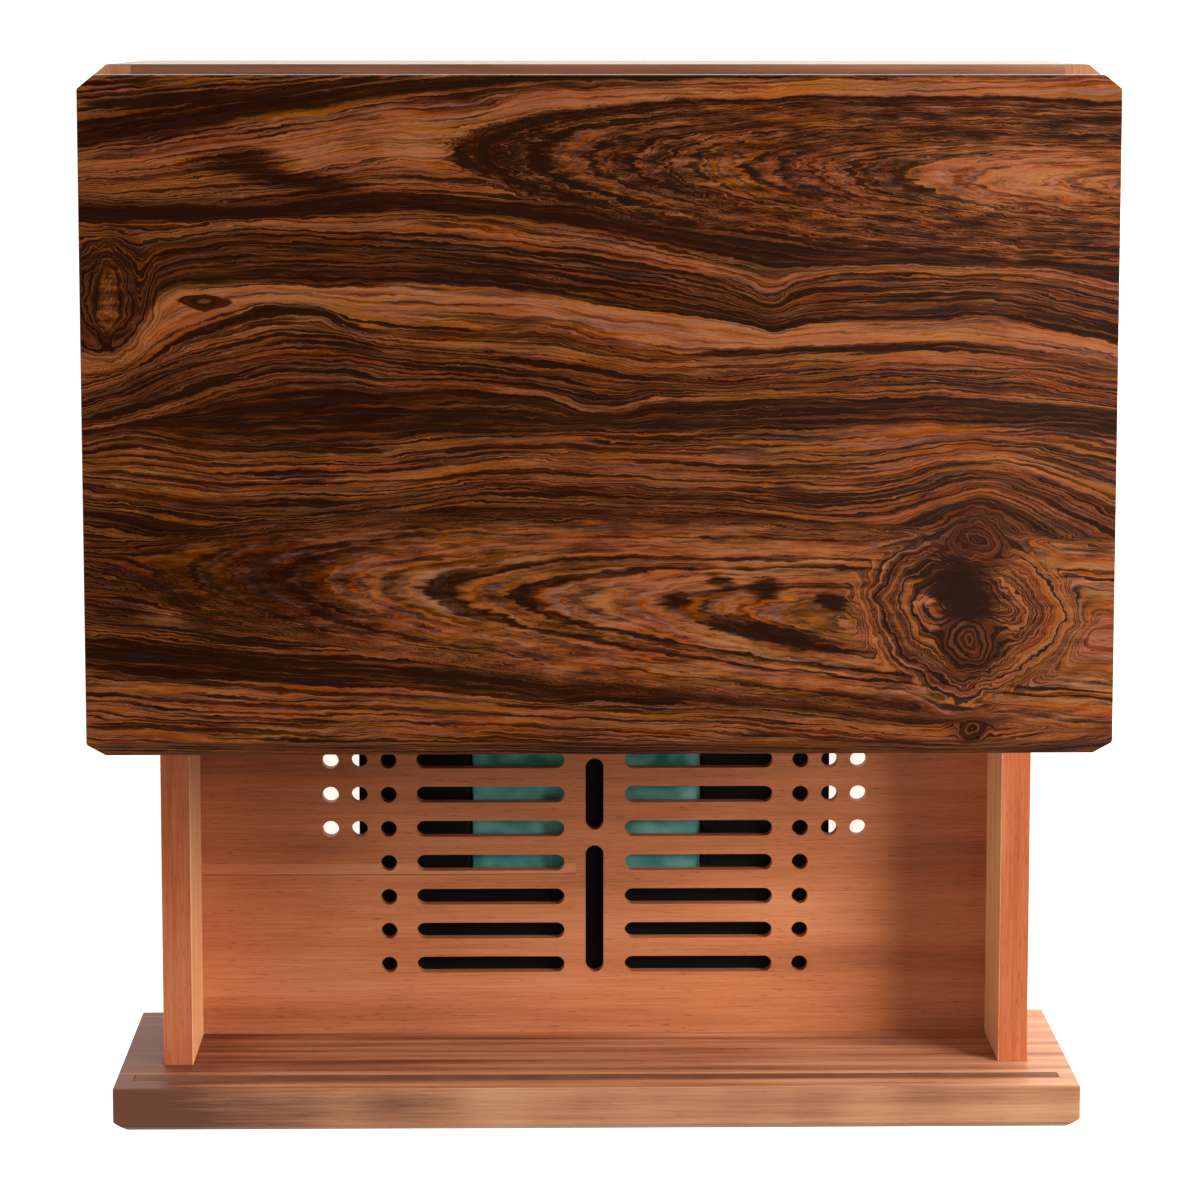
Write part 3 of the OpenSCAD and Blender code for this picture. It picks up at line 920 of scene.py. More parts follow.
    def tinted(self, tree: Tree, drift: Node, fine: Node, colour: Node) -> Node:
        """Lets hue and strength of colour drift along the grain.

        Args:
            tree: The material's tree.
            drift: Noise that turns the hue.
            fine: Noise that changes the strength.
            colour: The colour so far.

        Returns:
            A node for the new colour.
        """
        low, high = self.noise_span
        hue, strength = (
            add_node(
                tree,
                "ShaderNodeMapRange",
                {"Value": noise, "From Min": low, "From Max": high, "To Min": least, "To Max": most},
            )
            for noise, (least, most) in ((drift, self.hue_span), (fine, self.strength_span))
        )
        return add_node(
            tree, "ShaderNodeHueSaturation", {"Hue": hue, "Saturation": strength, "Color": colour}
        )

    def shade(self, tree: Tree) -> Node:
        """Builds the bands, the lines and the fibres, and the lacquer over them.

        Args:
            tree: The material's tree.

        Returns:
            The shader node at the end.
        """
        nodes = self.figure.field(tree)
        bands = self.streaks(tree, nodes, self.band_mm, 2.0)
        fine = self.streaks(tree, nodes, self.fine_mm)
        hair = self.streaks(tree, nodes, self.hair_mm)
        swing, start = self.band_swing
        banded = add_node(tree, "ShaderNodeMath", {0: bands, 1: swing, 2: start}, operation="MULTIPLY_ADD")
        swung = add_node(tree, "ShaderNodeMath", {0: nodes.tone, 1: banded}, operation="ADD")
        drawn = self.lined(tree, nodes, fine, self.mottled(tree, nodes.mottle, swung))
        swing, start = self.hair_swing
        fibres = add_node(tree, "ShaderNodeMath", {0: hair, 1: swing, 2: start}, operation="MULTIPLY_ADD")
        full = add_node(tree, "ShaderNodeMath", {0: drawn, 1: fibres}, operation="ADD", use_clamp=True)
        drift = self.streaks(tree, nodes, self.drift_mm)
        colour = self.tinted(tree, drift, fine, self.coloured(tree, full))
        lacquer = {"Coat Weight": self.coat, "Coat Roughness": self.coat_roughness}
        return self.surface(tree, colour, hair, hair, lacquer)


@dataclass(frozen=True, kw_only=True)
class Metal(Finish):
    """Rolled or turned metal with a satin brushing: soft streaks in the gloss and a little tarnish."""

    colours: tuple[str, ...] = ("#9c7436", "#c9a15a")
    tones: tuple[float, ...] = (0.35, 0.6)
    # Length and width of a brush mark, and size of a spot of tarnish
    brush_mm: tuple[float, float] = (12.0, 0.25)
    tarnish_mm: float = 9.0
    roughness: float = 0.32
    gloss: tuple[float, float] = (0.25, -0.12)
    relief: float = 0.15
    relief_mm: float = 0.05

    def shade(self, tree: Tree) -> Node:
        """Builds brushed streaks, slow tarnish and a metal shader.

        Args:
            tree: The material's tree.

        Returns:
            The shader node at the end.
        """
        where = add_node(tree, "ShaderNodeTexCoord").outputs["Object"]
        stretch = Grain.X.stretch(*self.brush_mm)
        brush_at = add_node(tree, "ShaderNodeMapping", {"Vector": where, "Scale": stretch})
        brush = add_node(tree, "ShaderNodeTexNoise", {"Vector": brush_at, "Scale": 1.0, "Detail": 2.0})
        spots = PER_MM / self.tarnish_mm
        tarnish = add_node(tree, "ShaderNodeTexNoise", {"Vector": where, "Scale": spots, "Detail": 3.0})
        return self.surface(tree, self.coloured(tree, tarnish), brush, brush, {"Metallic": 1.0})


@dataclass(frozen=True, kw_only=True)
class MouldedPlastic(Finish):
    """Moulded plastic, rubber or gel: an even colour with a fine cast texture that breaks the gloss."""

    tones: tuple[float, ...] = (0.35, 0.68)
    # Size of the cast texture and of a change of tone
    texture_mm: float = 0.5
    cloud_mm: float = 18.0
    transmission: float = 0.0
    ior: float = 1.49
    gloss: tuple[float, float] = (0.16, -0.08)
    relief: float = 0.3
    relief_mm: float = 0.06

    def shade(self, tree: Tree) -> Node:
        """Builds the cast texture, a faint change of tone and the plastic.

        Args:
            tree: The material's tree.

        Returns:
            The shader node at the end.
        """
        where = add_node(tree, "ShaderNodeTexCoord").outputs["Object"]
        cast, cloud = (
            add_node(tree, "ShaderNodeTexNoise", {"Vector": where, "Scale": PER_MM / size, "Detail": 2.0})
            for size in (self.texture_mm, self.cloud_mm)
        )
        clear = {"Transmission Weight": self.transmission, "IOR": self.ior}
        return self.surface(tree, self.coloured(tree, cloud), cast, cast, clear)


@dataclass(frozen=True, kw_only=True)
class PressedFelt(Finish):
    """Pressed wool felt: matted fibres and a soft sheen at grazing angles."""

    colours: tuple[str, ...] = ("#12140f", "#2b2d25")
    tones: tuple[float, ...] = (0.35, 0.65)
    fibre_mm: float = 0.6
    # Size of the bends in the fibres, and how far they go
    bend_mm: float = 3.0
    bend: float = 4.0 * MM
    relief: float = 0.6
    relief_mm: float = 0.3
    roughness: float = 0.95
    sheen: float = 0.4
    sheen_roughness: float = 0.5

    def shade(self, tree: Tree) -> Node:
        """Builds matted fibres, their relief and the sheen.

        Args:
            tree: The material's tree.

        Returns:
            The shader node at the end.
        """
        where = add_node(tree, "ShaderNodeTexCoord").outputs["Object"]
        bends = PER_MM / self.bend_mm
        warp = add_node(
            tree, "ShaderNodeTexNoise", {"Vector": where, "Scale": bends, "Detail": 2.0}
        ).outputs["Color"]
        bent = add_node(
            tree, "ShaderNodeVectorMath", {0: warp, 1: (self.bend,) * 3, 2: where}, operation="MULTIPLY_ADD"
        )
        threads = PER_MM / self.fibre_mm
        fibres = add_node(tree, "ShaderNodeTexNoise", {"Vector": bent, "Scale": threads, "Detail": 4.0})
        nap = {"Sheen Weight": self.sheen, "Sheen Roughness": self.sheen_roughness}
        return self.surface(tree, self.coloured(tree, fibres), fibres, fibres, nap)


@dataclass(frozen=True, kw_only=True)
class StudioPaper(Finish):
    """Matt white paper on a table that is lit from below, with a barely visible tooth."""

    colours: tuple[str, ...] = ("#f1f1f0", "#f5f5f4")
    tones: tuple[float, ...] = (0.3, 0.7)
    tooth_mm: float = 2.0
    roughness: float = 0.9
    glow: float = 0.85
    glow_colour: str = "#fffef6"

    def shade(self, tree: Tree) -> Node:
        """Builds plain pale paper.

        Args:
            tree: The material's tree.

        Returns:
            The shader node at the end.
        """
        where = add_node(tree, "ShaderNodeTexCoord").outputs["Object"]
        bumps = PER_MM / self.tooth_mm
        tooth = add_node(tree, "ShaderNodeTexNoise", {"Vector": where, "Scale": bumps, "Detail": 2.0})
        return add_node(
            tree,
            "ShaderNodeBsdfPrincipled",
            {
                "Base Color": self.coloured(tree, tooth),
                "Roughness": self.roughness,
                "Emission Color": linear(self.glow_colour),
                "Emission Strength": self.glow,
            },
        )


# Grain lines of the lid, from the back edge to past the front edge
LID_LINES = (
    GrainLine(-12, ((0, -12), (400, -12))),
    GrainLine(8, ((0, 24), (40, 17), (80, 11), (120, 5), (160, 1), (200, 0), (300, -1), (400, -2))),
    GrainLine(
        16,
        (
            (0, 34), (40, 29), (80, 23), (120, 17), (145, 16), (165, 11), (200, 8), (260, 7), (320, 5),
            (400, 3),
        ),
    ),
    GrainLine(
        57,
        (
            (0, 52), (20, 53.5), (60, 53), (80, 52), (100, 49.5), (120, 48.5), (140, 49.5), (160, 51.5),
            (180, 54), (200, 56.5), (220, 61), (240, 66), (260, 69), (280, 71), (330, 72), (370, 72),
            (400, 77),
        ),
    ),
    GrainLine(
        69,
        (
            (0, 61), (20, 63), (40, 61), (60, 58), (80, 59), (100, 60), (140, 61), (160, 63), (180, 66),
            (200, 68), (220, 71), (240, 75), (256, 80), (266, 84), (276, 79), (300, 76), (340, 76),
            (370, 78), (400, 84),
        ),
    ),
    GrainLine(
        92,
        (
            (0, 107), (12, 106), (20, 101), (26, 92), (34, 84), (46, 81), (70, 80.5), (100, 81),
            (150, 82), (180, 85), (200, 89), (220, 92), (240, 94.5), (256, 97), (266, 99), (280, 96.5),
            (300, 96), (330, 95), (345, 93.5), (360, 95.5), (380, 100), (400, 105),
        ),
    ),
    GrainLine(
        101,
        (
            (0, 118), (20, 112), (40, 101), (60, 93), (75, 89.5), (90, 90), (105, 96), (120, 98),
            (140, 100), (180, 100.5), (200, 105), (220, 107), (240, 108), (280, 106), (320, 104),
            (360, 106), (400, 112),
        ),
    ),
    GrainLine(
        110,
        (
            (0, 124), (20, 116), (40, 108), (60, 103), (80, 100), (100, 101), (120, 105), (160, 108),
            (180, 110), (200, 113), (220, 116), (240, 117), (280, 115), (320, 113), (360, 114),
            (400, 120),
        ),
    ),
    GrainLine(
        124,
        (
            (0, 136), (20, 133), (40, 127), (60, 121), (80, 117.5), (100, 117), (120, 119),
            (140, 118.5), (160, 120), (180, 123.5), (195, 128), (205, 129), (220, 126), (240, 125),
            (280, 123.5), (320, 122.5), (360, 124), (400, 128),
        ),
    ),
    GrainLine(
        137,
        (
            (0, 139), (20, 136), (40, 138), (60, 140.5), (80, 141), (110, 139.5), (140, 137.5),
            (180, 136.5), (220, 136.5), (260, 136), (300, 135), (340, 134), (370, 134), (400, 137),
        ),
    ),
    GrainLine(
        159,
        (
            (0, 157), (20, 160), (60, 163), (100, 163), (140, 160), (165, 157), (190, 158), (240, 161),
            (290, 163), (315, 161), (335, 155), (350, 153), (365, 156), (385, 165), (400, 173),
        ),
    ),
    GrainLine(
        172,
        (
            (0, 168), (20, 171), (40, 175), (60, 177), (80, 177), (100, 174), (120, 172), (140, 168),
            (160, 167), (190, 168), (220, 169), (260, 172), (290, 176), (305, 177), (320, 174),
            (335, 168), (347, 165), (360, 169), (375, 178), (400, 190),
        ),
    ),
    GrainLine(
        235,
        (
            (0, 218), (40, 222), (80, 226), (120, 228), (150, 232), (180, 236), (220, 237),
            (250, 238.5), (280, 242), (300, 245), (325, 247), (345, 247), (365, 243), (385, 234),
            (400, 226),
        ),
    ),
    GrainLine(
        251,
        (
            (0, 243), (40, 246), (80, 248), (120, 249), (160, 250), (200, 252), (240, 253), (280, 256),
            (310, 259), (345, 262), (375, 258), (400, 252),
        ),
    ),
    GrainLine(310, ((0, 310), (400, 310))),
)

# Tone of the wood in the order of growth, from 0, black, to 1, light orange
LID_TONES = (
    (5, 0.52), (6.2, 0.1), (9.6, 0.1), (10.8, 0.6), (17, 0.86), (42, 0.64), (52, 0.5), (54, 0.08),
    (59.5, 0.1), (61.5, 0.6), (66, 0.72), (71, 0.4), (90, 0.18), (92.5, 0.9), (98, 0.78), (101, 0.25),
    (104, 0.66), (111, 0.36), (122, 0.34), (124, 0.7), (126, 0.1), (135, 0.1), (139, 0.46), (156, 0.56),
    (160, 0.3), (168, 0.46), (172, 0.14), (180, 0.5), (232, 0.55), (235.5, 0.12), (240, 0.14),
    (243, 0.6),
)

FLAME_TONES = (
    (0.0, 0.48), (0.4, 0.42), (0.6, 0.32), (0.72, 0.38), (0.76, 0.12), (0.8, 0.42), (0.86, 0.4),
    (0.88, 0.14), (0.9, 0.44), (0.925, 0.38), (0.945, 0.08), (0.985, 0.04), (1.0, 0.42),
)
LOOP_TONES = (
    (0.0, 0.66), (0.3, 0.66), (0.4, 0.66), (0.44, 0.42), (0.47, 0.66), (0.578, 0.68), (0.588, 0.12),
    (0.605, 0.1), (0.618, 0.68), (0.658, 0.7), (0.667, 0.08), (0.686, 0.1), (0.697, 0.68), (0.8, 0.64),
    (0.86, 0.52), (1.0, 0.48),
)
KNOT_TONES = (
    (0.0, 0.3), (0.25, 0.45), (0.36, 0.58), (0.4, 0.3), (0.43, 0.6), (0.48, 0.62), (0.505, 0.28),
    (0.53, 0.62), (0.58, 0.6), (0.605, 0.26), (0.63, 0.62), (0.685, 0.64), (0.71, 0.3), (0.735, 0.66),
    (0.79, 0.66), (0.81, 0.32), (0.83, 0.68), (0.88, 0.7), (0.9, 0.36), (0.92, 0.68), (1.0, 0.64),
)
SWIRL_TONES = ((0.0, 0.2), (0.3, 0.14), (0.5, 0.3), (0.7, 0.18), (0.85, 0.3), (1.0, 0.25))
STREAK_TONES = ((0.0, 0.52), (0.5, 0.44), (1.0, 0.26))
DARK_TONES = ((0.0, 0.28), (0.35, 0.2), (0.55, 0.34), (0.75, 0.18), (1.0, 0.14))
UPPER_TONES = ((0.0, 0.22), (0.5, 0.2), (0.75, 0.14), (1.0, 0.18))
RING_TONES = ((0.0, 0.15), (0.3, 0.42), (0.5, 0.15), (0.75, 0.4), (1.0, 0.25))
EYE_TONES = ((0.0, 0.35), (0.5, 0.1), (0.85, 0.12), (1.0, 0.6))

LID_ISLANDS = (
    Island((420.0, 43.5), (278.0, 33.0), 3.0, FLAME_TONES, (-44.0, 36.0), 0.02, 1.5, 0.8, Edge.FRAYED),
    Island((400.0, 218.0), (385.0, 37.0), 4.3, LOOP_TONES, (158.0, 195.0), 0.06, 1.1, 0.65, Edge.FRAYED),
    Island((10.0, 85.0), (15.0, 22.0), 0.0, SWIRL_TONES, (94.0, 72.0), 0.5, 0.5),
    Island((10.5, 85.0), (3.4, 14.0), 3.0, STREAK_TONES, (96.0, 89.0), 0.7, 1.6, 0.5),
    Island((48.0, 87.0), (11.0, 3.8), 3.0, EYE_TONES, (90.0, 95.0), 0.1, 0.1, 0.6, Edge.CLEAN, 0.5),
    Island((343.0, 207.0), (47.0, 38.0), 6.0, KNOT_TONES, (240.0, 180.0), 0.2, 0.7, 1.15, diamond=0.4),
    Island((344.0, 219.0), (14.0, 12.0), 0.0, DARK_TONES, (222.0, 208.0), 0.3),
    Island((344.5, 219.5), (4.5, 5.5), 0.0, RING_TONES, (226.0, 219.0), 0.35),
    Island((346.5, 179.5), (15.0, 12.0), 0.0, UPPER_TONES, (196.0, 183.0), 0.5, 0.2, 0.4),
    Island((345.0, 255.0), (7.5, 6.5), 0.0, RING_TONES, (239.0, 247.0), 0.4),
)

LID_PATCHES = (
    Patch((362.0, 38.0), (62.0, 16.0), 2.0, 0.5),
    Patch((105.0, 30.0), (60.0, 12.0), -4.0, 0.15),
    Patch((60.0, 32.0), (150.0, 55.0), 0.0, -0.14),
    Patch((62.0, 33.0), (26.0, 7.0), -3.0, -0.7),
    Patch((79.0, 39.0), (24.0, 5.0), 4.0, -0.7),
    Patch((97.0, 43.0), (16.0, 5.0), -6.0, -0.4),
    Patch((30.0, 51.5), (90.0, 5.0), 0.0, -0.35),
    Patch((131.0, 29.0), (17.0, 8.0), 0.0, 0.35),
    Patch((84.0, 29.0), (22.0, 5.0), -4.0, 0.3),
    Patch((158.0, 31.0), (18.0, 9.0), -8.0, -0.15),
    Patch((46.0, 198.0), (88.0, 36.0), 2.0, -0.42),
    Patch((32.0, 209.0), (15.0, 6.0), 10.0, 0.5),
    Patch((267.0, 216.5), (36.0, 5.5), 14.0, -0.9),
    Patch((228.0, 202.5), (8.0, 4.5), 0.0, -1.0),
    Patch((264.0, 198.5), (8.0, 6.5), 20.0, -1.0),
    Patch((290.0, 203.5), (8.0, 3.5), 10.0, -1.0),
    Patch((246.0, 195.5), (7.0, 3.5), 10.0, -1.0),
    Patch((338.0, 198.0), (23.0, 13.0), 24.0, -1.0),
    Patch((326.5, 203.5), (5.0, 3.4), 0.0, 1.0),
    # Painted light: the right half of the lid lighter, towards the lamp
    Patch((345.0, 130.0), (150.0, 150.0), 0.0, 0.14),
    # Painted shade: darker along the lid's front edge and its bevel
    Patch((200.0, 267.0), (2000.0, 10.0), 0.0, -0.1),
)


def outward(*directions: tuple[float, float, float]) -> FacePicker:
    """Makes a picker that gives 1 to faces that look in any of some directions, and 0 to the others.

    Args:
        *directions: Unit vectors.

    Returns:
        A function of a face's centre and normal.
    """

    def pick(_centre: Vector, normal: Vector) -> int:
        """Gives 1 to a face that looks outwards."""
        return int(any(normal.dot(Vector(direction)) > FACING for direction in directions))

    return pick


def settled(holder: Object) -> Mesh:
    """Applies an object's modifiers and takes the object away again.

    Args:
        holder: An object that is not in the scene yet.

    Returns:
        The plain mesh that its modifiers make.
    """
    bpy.context.scene.collection.objects.link(holder)
    bpy.context.view_layer.update()
    evaluated = holder.evaluated_get(bpy.context.evaluated_depsgraph_get())
    mesh = bpy.data.meshes.new_from_object(evaluated)
    bpy.data.objects.remove(holder)
    return mesh


def hand_over(mesh: Mesh, node: str, body: str) -> None:
    """Puts a finished mesh into the scene in place of its CAD node.

    Args:
        mesh: The finished mesh.
        node: The CAD node that it stands for.
        body: The CAD body that carries it.
    """
    mesh.name = f"{node}_finished"
    made = bpy.data.objects.new(mesh.name, mesh)
    bpy.context.scene.collection.objects.link(made)
    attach(made, body)
    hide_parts(node)
    LOG.info("%s on %s: %d faces", made.name, body, len(mesh.polygons))


@dataclass
class Piece:
    """A CAD node that gets eased edges and a finish.

    The finishes are in the order of the numbers that the picker gives to a face.
    """

    node: str
    slot: str
    finishes: tuple[Finish, ...]
    arris: float = 0.6 * MM
    segments: int = 2
    picker: FacePicker | None = None
    # Turn of an edge that is eased, and of an edge that is no edge at all, in degrees
    sharp: float = 38.0
    flat: float = 1.0

    def build(self, body: str) -> None:
        """Copies the node, eases its edges, dresses it and rides it on its body.

        Args:
            body: The CAD body that carries the piece.
        """
        rough = bpy.data.objects.new(f"{self.node}_rough", self.cleaned())
        bevel = rough.modifiers.new("arris", "BEVEL")
        bevel.width = self.arris
        bevel.segments = self.segments
        bevel.limit_method = "ANGLE"
        bevel.angle_limit = math.radians(self.sharp)
        bevel.harden_normals = True
        mesh = settled(rough)
        self.dress(mesh)
        hand_over(mesh, self.node, body)

    def cleaned(self) -> Mesh:
        """Copies the node's mesh, with its loose triangles joined into whole faces.

        Returns:
            The joined mesh.
        """
        mesh = bpy.data.meshes.new(f"{self.node}_rough")
        work = bmesh.new()
        work.from_mesh(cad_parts[self.node].data)
        bmesh.ops.remove_doubles(work, verts=work.verts, dist=SAME_SPOT)
        turn = math.radians(self.flat)
        bmesh.ops.dissolve_limit(work, angle_limit=turn, verts=work.verts, edges=work.edges)
        work.to_mesh(mesh)
        work.free()
        for name in ("custom_normal", "sharp_edge", "sharp_face"):
            stale = mesh.attributes.get(name)
            if stale:
                mesh.attributes.remove(stale)
        mesh.shade_smooth()
        return mesh

    def dress(self, mesh: Mesh) -> None:
        """Gives each face its finish.

        Args:
            mesh: The finished mesh.
        """
        mesh.materials.clear()
        for finish in self.finishes:
            mesh.materials.append(finish.material())
        if self.picker:
            for face in mesh.polygons:
                face.material_index = self.picker(face.center, face.normal)


ROSEWOOD_X = RosewoodVeneer("rosewood_along_x", figure=StraightFigure(Grain.X, seed=17.0))
ROSEWOOD_Y = RosewoodVeneer("rosewood_along_y", figure=StraightFigure(Grain.Y, seed=43.0))
MAHOGANY_X = StraightGrainWood(
    "mahogany_along_x",
    colours=("#80513a", "#b07a58", "#c4946d"),
    ribbon=0.9,
    ribbon_mm=(420.0, 9.0),
    pore=0.1,
    roughness=0.42,
    seed=3.0,
)
MAHOGANY_Y = replace(MAHOGANY_X, name="mahogany_along_y", grain=Grain.Y, seed=5.0)
# Drawer front mahogany: real clouds, with painted light rising towards the right and painted shade at the
# left end
MAHOGANY_FRONT = replace(
    MAHOGANY_X,
    name="clouded_mahogany_painted_light",
    colours=("#6a4334", "#ad7857", "#c8986f"),
    blotch=0.7,
    blotch_mm=(46.0, 90.0),
    painted_light_lean=0.8,
    painted_left_shade=0.28,
    seed=8.0,
)
# A darker copy of the mahogany, for the case back's top and inner faces
MAHOGANY_BACK = replace(
    MAHOGANY_X, name="darker_mahogany", colours=("#5a3929", "#835742", "#a1765a"), roughness=0.5, seed=6.0
)
CEDAR_X = StraightGrainWood("cedar_along_x", seed=7.0)
CEDAR_Y = StraightGrainWood(
    "cedar_along_y",
    grain=Grain.Y,
    colours=("#8c4726", "#b46038", "#cc845a"),
    ribbon=0.7,
    ribbon_mm=(300.0, 9.0),
    seed=9.0,
)
# Painted light: a lighter copy of the side cedar, for the walls' inner faces
PAINTED_LIGHT_CEDAR = replace(CEDAR_Y, name="cedar_painted_lighter", colours=("#c98557", "#eaab79", "#f3c79b"), seed=14.0)
# Cedar of the drawer front's inner face: real ribbons and clouds, with painted light rising towards the
# right and painted shade at the left end
CEDAR_FACE = StraightGrainWood(
    "ribbon_cedar_painted_light",
    colours=("#6c3c28", "#ae7250", "#cf9b74"),
    ribbon=1.5,
    ribbon_mm=(260.0, 7.0),
    blotch=0.7,
    blotch_mm=(110.0, 40.0),
    painted_light_lean=0.9,
    painted_left_shade=0.36,
    seed=12.0,
)
CEDAR_FLOOR = JointedFloorWood("glued_cedar", colours=("#9a5a38", "#cb7e51", "#de9d71"), seed=21.0)
HARDWOOD_X = StraightGrainWood(
    "beech_along_x",
    colours=("#6d4426", "#8d5c36", "#a5744a"),
    ribbon=0.6,
    ribbon_mm=(200.0, 8.0),
    seed=4.0,
)
HARDWOOD_Y = replace(HARDWOOD_X, name="beech_along_y", grain=Grain.Y, seed=2.0)
BRASS = Metal("satin_brass")
STEEL = Metal("zinc_plated_steel", colours=("#8d8e8d", "#b9bab8"), roughness=0.35)
FELT = PressedFelt("pressed_felt")
SEAL = MouldedPlastic(
    "brown_rubber", colours=("#6e4530", "#80533b"), roughness=0.7, texture_mm=0.8, specular=0.3
)
BLACK_ABS = MouldedPlastic("black_abs", colours=("#060506", "#0c0b0c"), roughness=0.4, specular=0.2)
CLEAR_PLASTIC = MouldedPlastic(
    "clear_polystyrene",
    colours=("#e6efec", "#f0f6f4"),
    roughness=0.12,
    texture_mm=6.0,
    transmission=1.0,
    ior=1.59,
    relief_mm=0.02,
)
GEL = MouldedPlastic(
    "moist_gel",
    colours=("#3f8c86", "#90dbd4"),
    roughness=0.22,
    texture_mm=2.5,
    transmission=0.15,
    ior=1.34,
    relief_mm=0.5,
)
# Solid mahogany with a veneer on the faces that a picker gives to it
VENEERED_X = (MAHOGANY_X, ROSEWOOD_X)
VENEERED_Y = (MAHOGANY_Y, ROSEWOOD_Y)


@dataclass
class Assembly:
    """Pieces that ride on one body."""

    body: str

    def pieces(self) -> Sequence[Piece]:
        """The assembly's pieces."""
        raise NotImplementedError

    def build(self) -> None:
        """Builds and dresses every piece."""
        for piece in self.pieces():
            piece.build(self.body)


@dataclass
class Case(Assembly):
    """The carcass: sides, back, bottom, plinth, fascia, deck, cedar linings and drawer runners."""

    body: str = "case"
    fine_arris: float = 0.4 * MM

    def pieces(self) -> Sequence[Piece]:
        """Lists every board of the case.

        Returns:
            The boards, the pad and the runners.
        """
        return (
            Piece("case_left", "rosewood_veneer", VENEERED_Y, picker=outward(LEFT, BACK)),
            Piece("case_right", "rosewood_veneer", VENEERED_Y, picker=outward(RIGHT, BACK)),
            Piece("case_back", "rosewood_veneer", (MAHOGANY_BACK, ROSEWOOD_X), picker=outward(BACK)),
            Piece("case_bottom", "hardwood", (HARDWOOD_X,)),
            Piece("plinth", "hardwood", (HARDWOOD_X,)),
            Piece("base_pad", "felt", (FELT,), self.fine_arris),
            Piece("front_rail", "hardwood", (HARDWOOD_X,)),
            Piece("fascia", "rosewood_veneer", VENEERED_X, picker=outward(FRONT, LEFT, RIGHT)),
            Piece("deck", "cedar", (CEDAR_X,)),
            Piece("lining_left", "cedar", (CEDAR_Y,)),
            Piece("lining_right", "cedar", (CEDAR_Y,)),
            Piece("lining_front", "cedar", (CEDAR_X,)),
            Piece("lining_back", "cedar", (CEDAR_X,)),
            Piece("runner_left", "hardwood", (HARDWOOD_Y,), self.fine_arris),
            Piece("runner_right", "hardwood", (HARDWOOD_Y,), self.fine_arris),
        )


@dataclass
class Lid(Assembly):
    """The lid: a figured rosewood panel on four rails, with a cedar lining."""

    body: str = "lid"
    arris: float = 0.5 * MM
    # Range of a normal's Y on the bevel along the front
    bevel_y: tuple[float, float] = (-0.95, -0.3)

    def panel_face(self, _centre: Vector, normal: Vector) -> int:
        """Picks lacquered rosewood, mahogany below, and oiled rosewood on the front bevel.

        Args:
            _centre: The face's centre; not used.
            normal: The face's normal.

        Returns:
            The number of the finish.
        """
        if normal.z < -FACING:
            return 1
        steep, shallow = self.bevel_y
        return 2 if steep < normal.y < shallow else 0

    def pieces(self) -> Sequence[Piece]:
        """Lists the lid's pieces and makes the figure of its panel.

        Returns:
            The panel, the rails and the lining.
        """
        low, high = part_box("lid_panel")
        figure = LidFigure(
            length=(high.x - low.x) * PER_MM,
            origin=(-low.x * PER_MM, high.y * PER_MM, high.z * PER_MM),
            lines=LID_LINES,
            tones=LID_TONES,
            islands=LID_ISLANDS,
            patches=LID_PATCHES,
        )
        lacquered = RosewoodVeneer("figured_rosewood", figure=figure)
        oiled = replace(lacquered, name="oiled_rosewood", roughness=0.5, specular=0.02, coat=0.0)
        figured = (lacquered, MAHOGANY_X, oiled)
        front, back = outward(FRONT, LEFT, RIGHT), outward(BACK, LEFT, RIGHT)
        return (
            Piece("lid_panel", "rosewood_veneer", figured, self.arris, picker=self.panel_face),
            Piece("lid_front_rail", "rosewood_veneer", VENEERED_X, self.arris, picker=front),
            Piece("lid_back_rail", "rosewood_veneer", VENEERED_X, self.arris, picker=back),
            Piece("lid_left_rail", "rosewood_veneer", VENEERED_Y, self.arris, picker=outward(LEFT)),
            Piece("lid_right_rail", "rosewood_veneer", VENEERED_Y, self.arris, picker=outward(RIGHT)),
            Piece("lid_lining", "cedar", (CEDAR_X,)),
        )


@dataclass
class Hinges:
    """The two brass butt hinges, each with a leaf on the case, a leaf on the lid and a pin."""

    arris: float = 0.15 * MM

    def build(self) -> None:
        """Builds and dresses the leaves and pins on the bodies that carry them."""
        for side in ("left", "right"):
            Piece(f"hinge_{side}_case_leaf", "brass", (BRASS,), self.arris).build("case")
            Piece(f"hinge_{side}_pin", "steel", (STEEL,), self.arris).build("case")
            Piece(f"hinge_{side}_lid_leaf", "brass", (BRASS,), self.arris).build("lid")


@dataclass
class Drawer(Assembly):
    """The drawer: a veneered front with a seal, cedar walls and a perforated cedar floor."""

    body: str = "drawer"
    wall_arris: float = 0.4 * MM
    floor_arris: float = 0.35 * MM
    seal_arris: float = 0.3 * MM
    # How nearly square to the front a face has to look, and the depth of the inner face's finish
    square_on: float = 0.8
    face_depth: float = 1.5 * MM

    def front_face(self, centre: Vector, normal: Vector) -> int:
        """Picks rosewood outside, ribbon cedar on the inner face and mahogany on the edges.

        Args:
            centre: The face's centre.
            normal: The face's normal.

        Returns:
            The number of the finish.
        """
        if normal.y < -self.square_on:
            return 1
        inner_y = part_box("drawer_front")[1].y - self.face_depth
        return 2 if normal.y > self.square_on and centre.y > inner_y else 0

    def pieces(self) -> Sequence[Piece]:
        """Lists the drawer's pieces.

        Returns:
            The boards and the seal.
        """
        front = (MAHOGANY_FRONT, ROSEWOOD_X, CEDAR_FACE)
        # The walls' inner faces get the lighter copy of the cedar: painted light
        wall = (CEDAR_Y, PAINTED_LIGHT_CEDAR)
        return (
            Piece("drawer_front", "rosewood_veneer", front, picker=self.front_face),
            Piece("drawer_left", "cedar", wall, self.wall_arris, picker=outward(RIGHT)),
            Piece("drawer_right", "cedar", wall, self.wall_arris, picker=outward(LEFT)),
            Piece("drawer_back", "cedar", (CEDAR_X,)),
            Piece("drawer_floor", "cedar", (CEDAR_FLOOR,), self.floor_arris),
            Piece("drawer_seal", "seal", (SEAL,), self.seal_arris),
        )


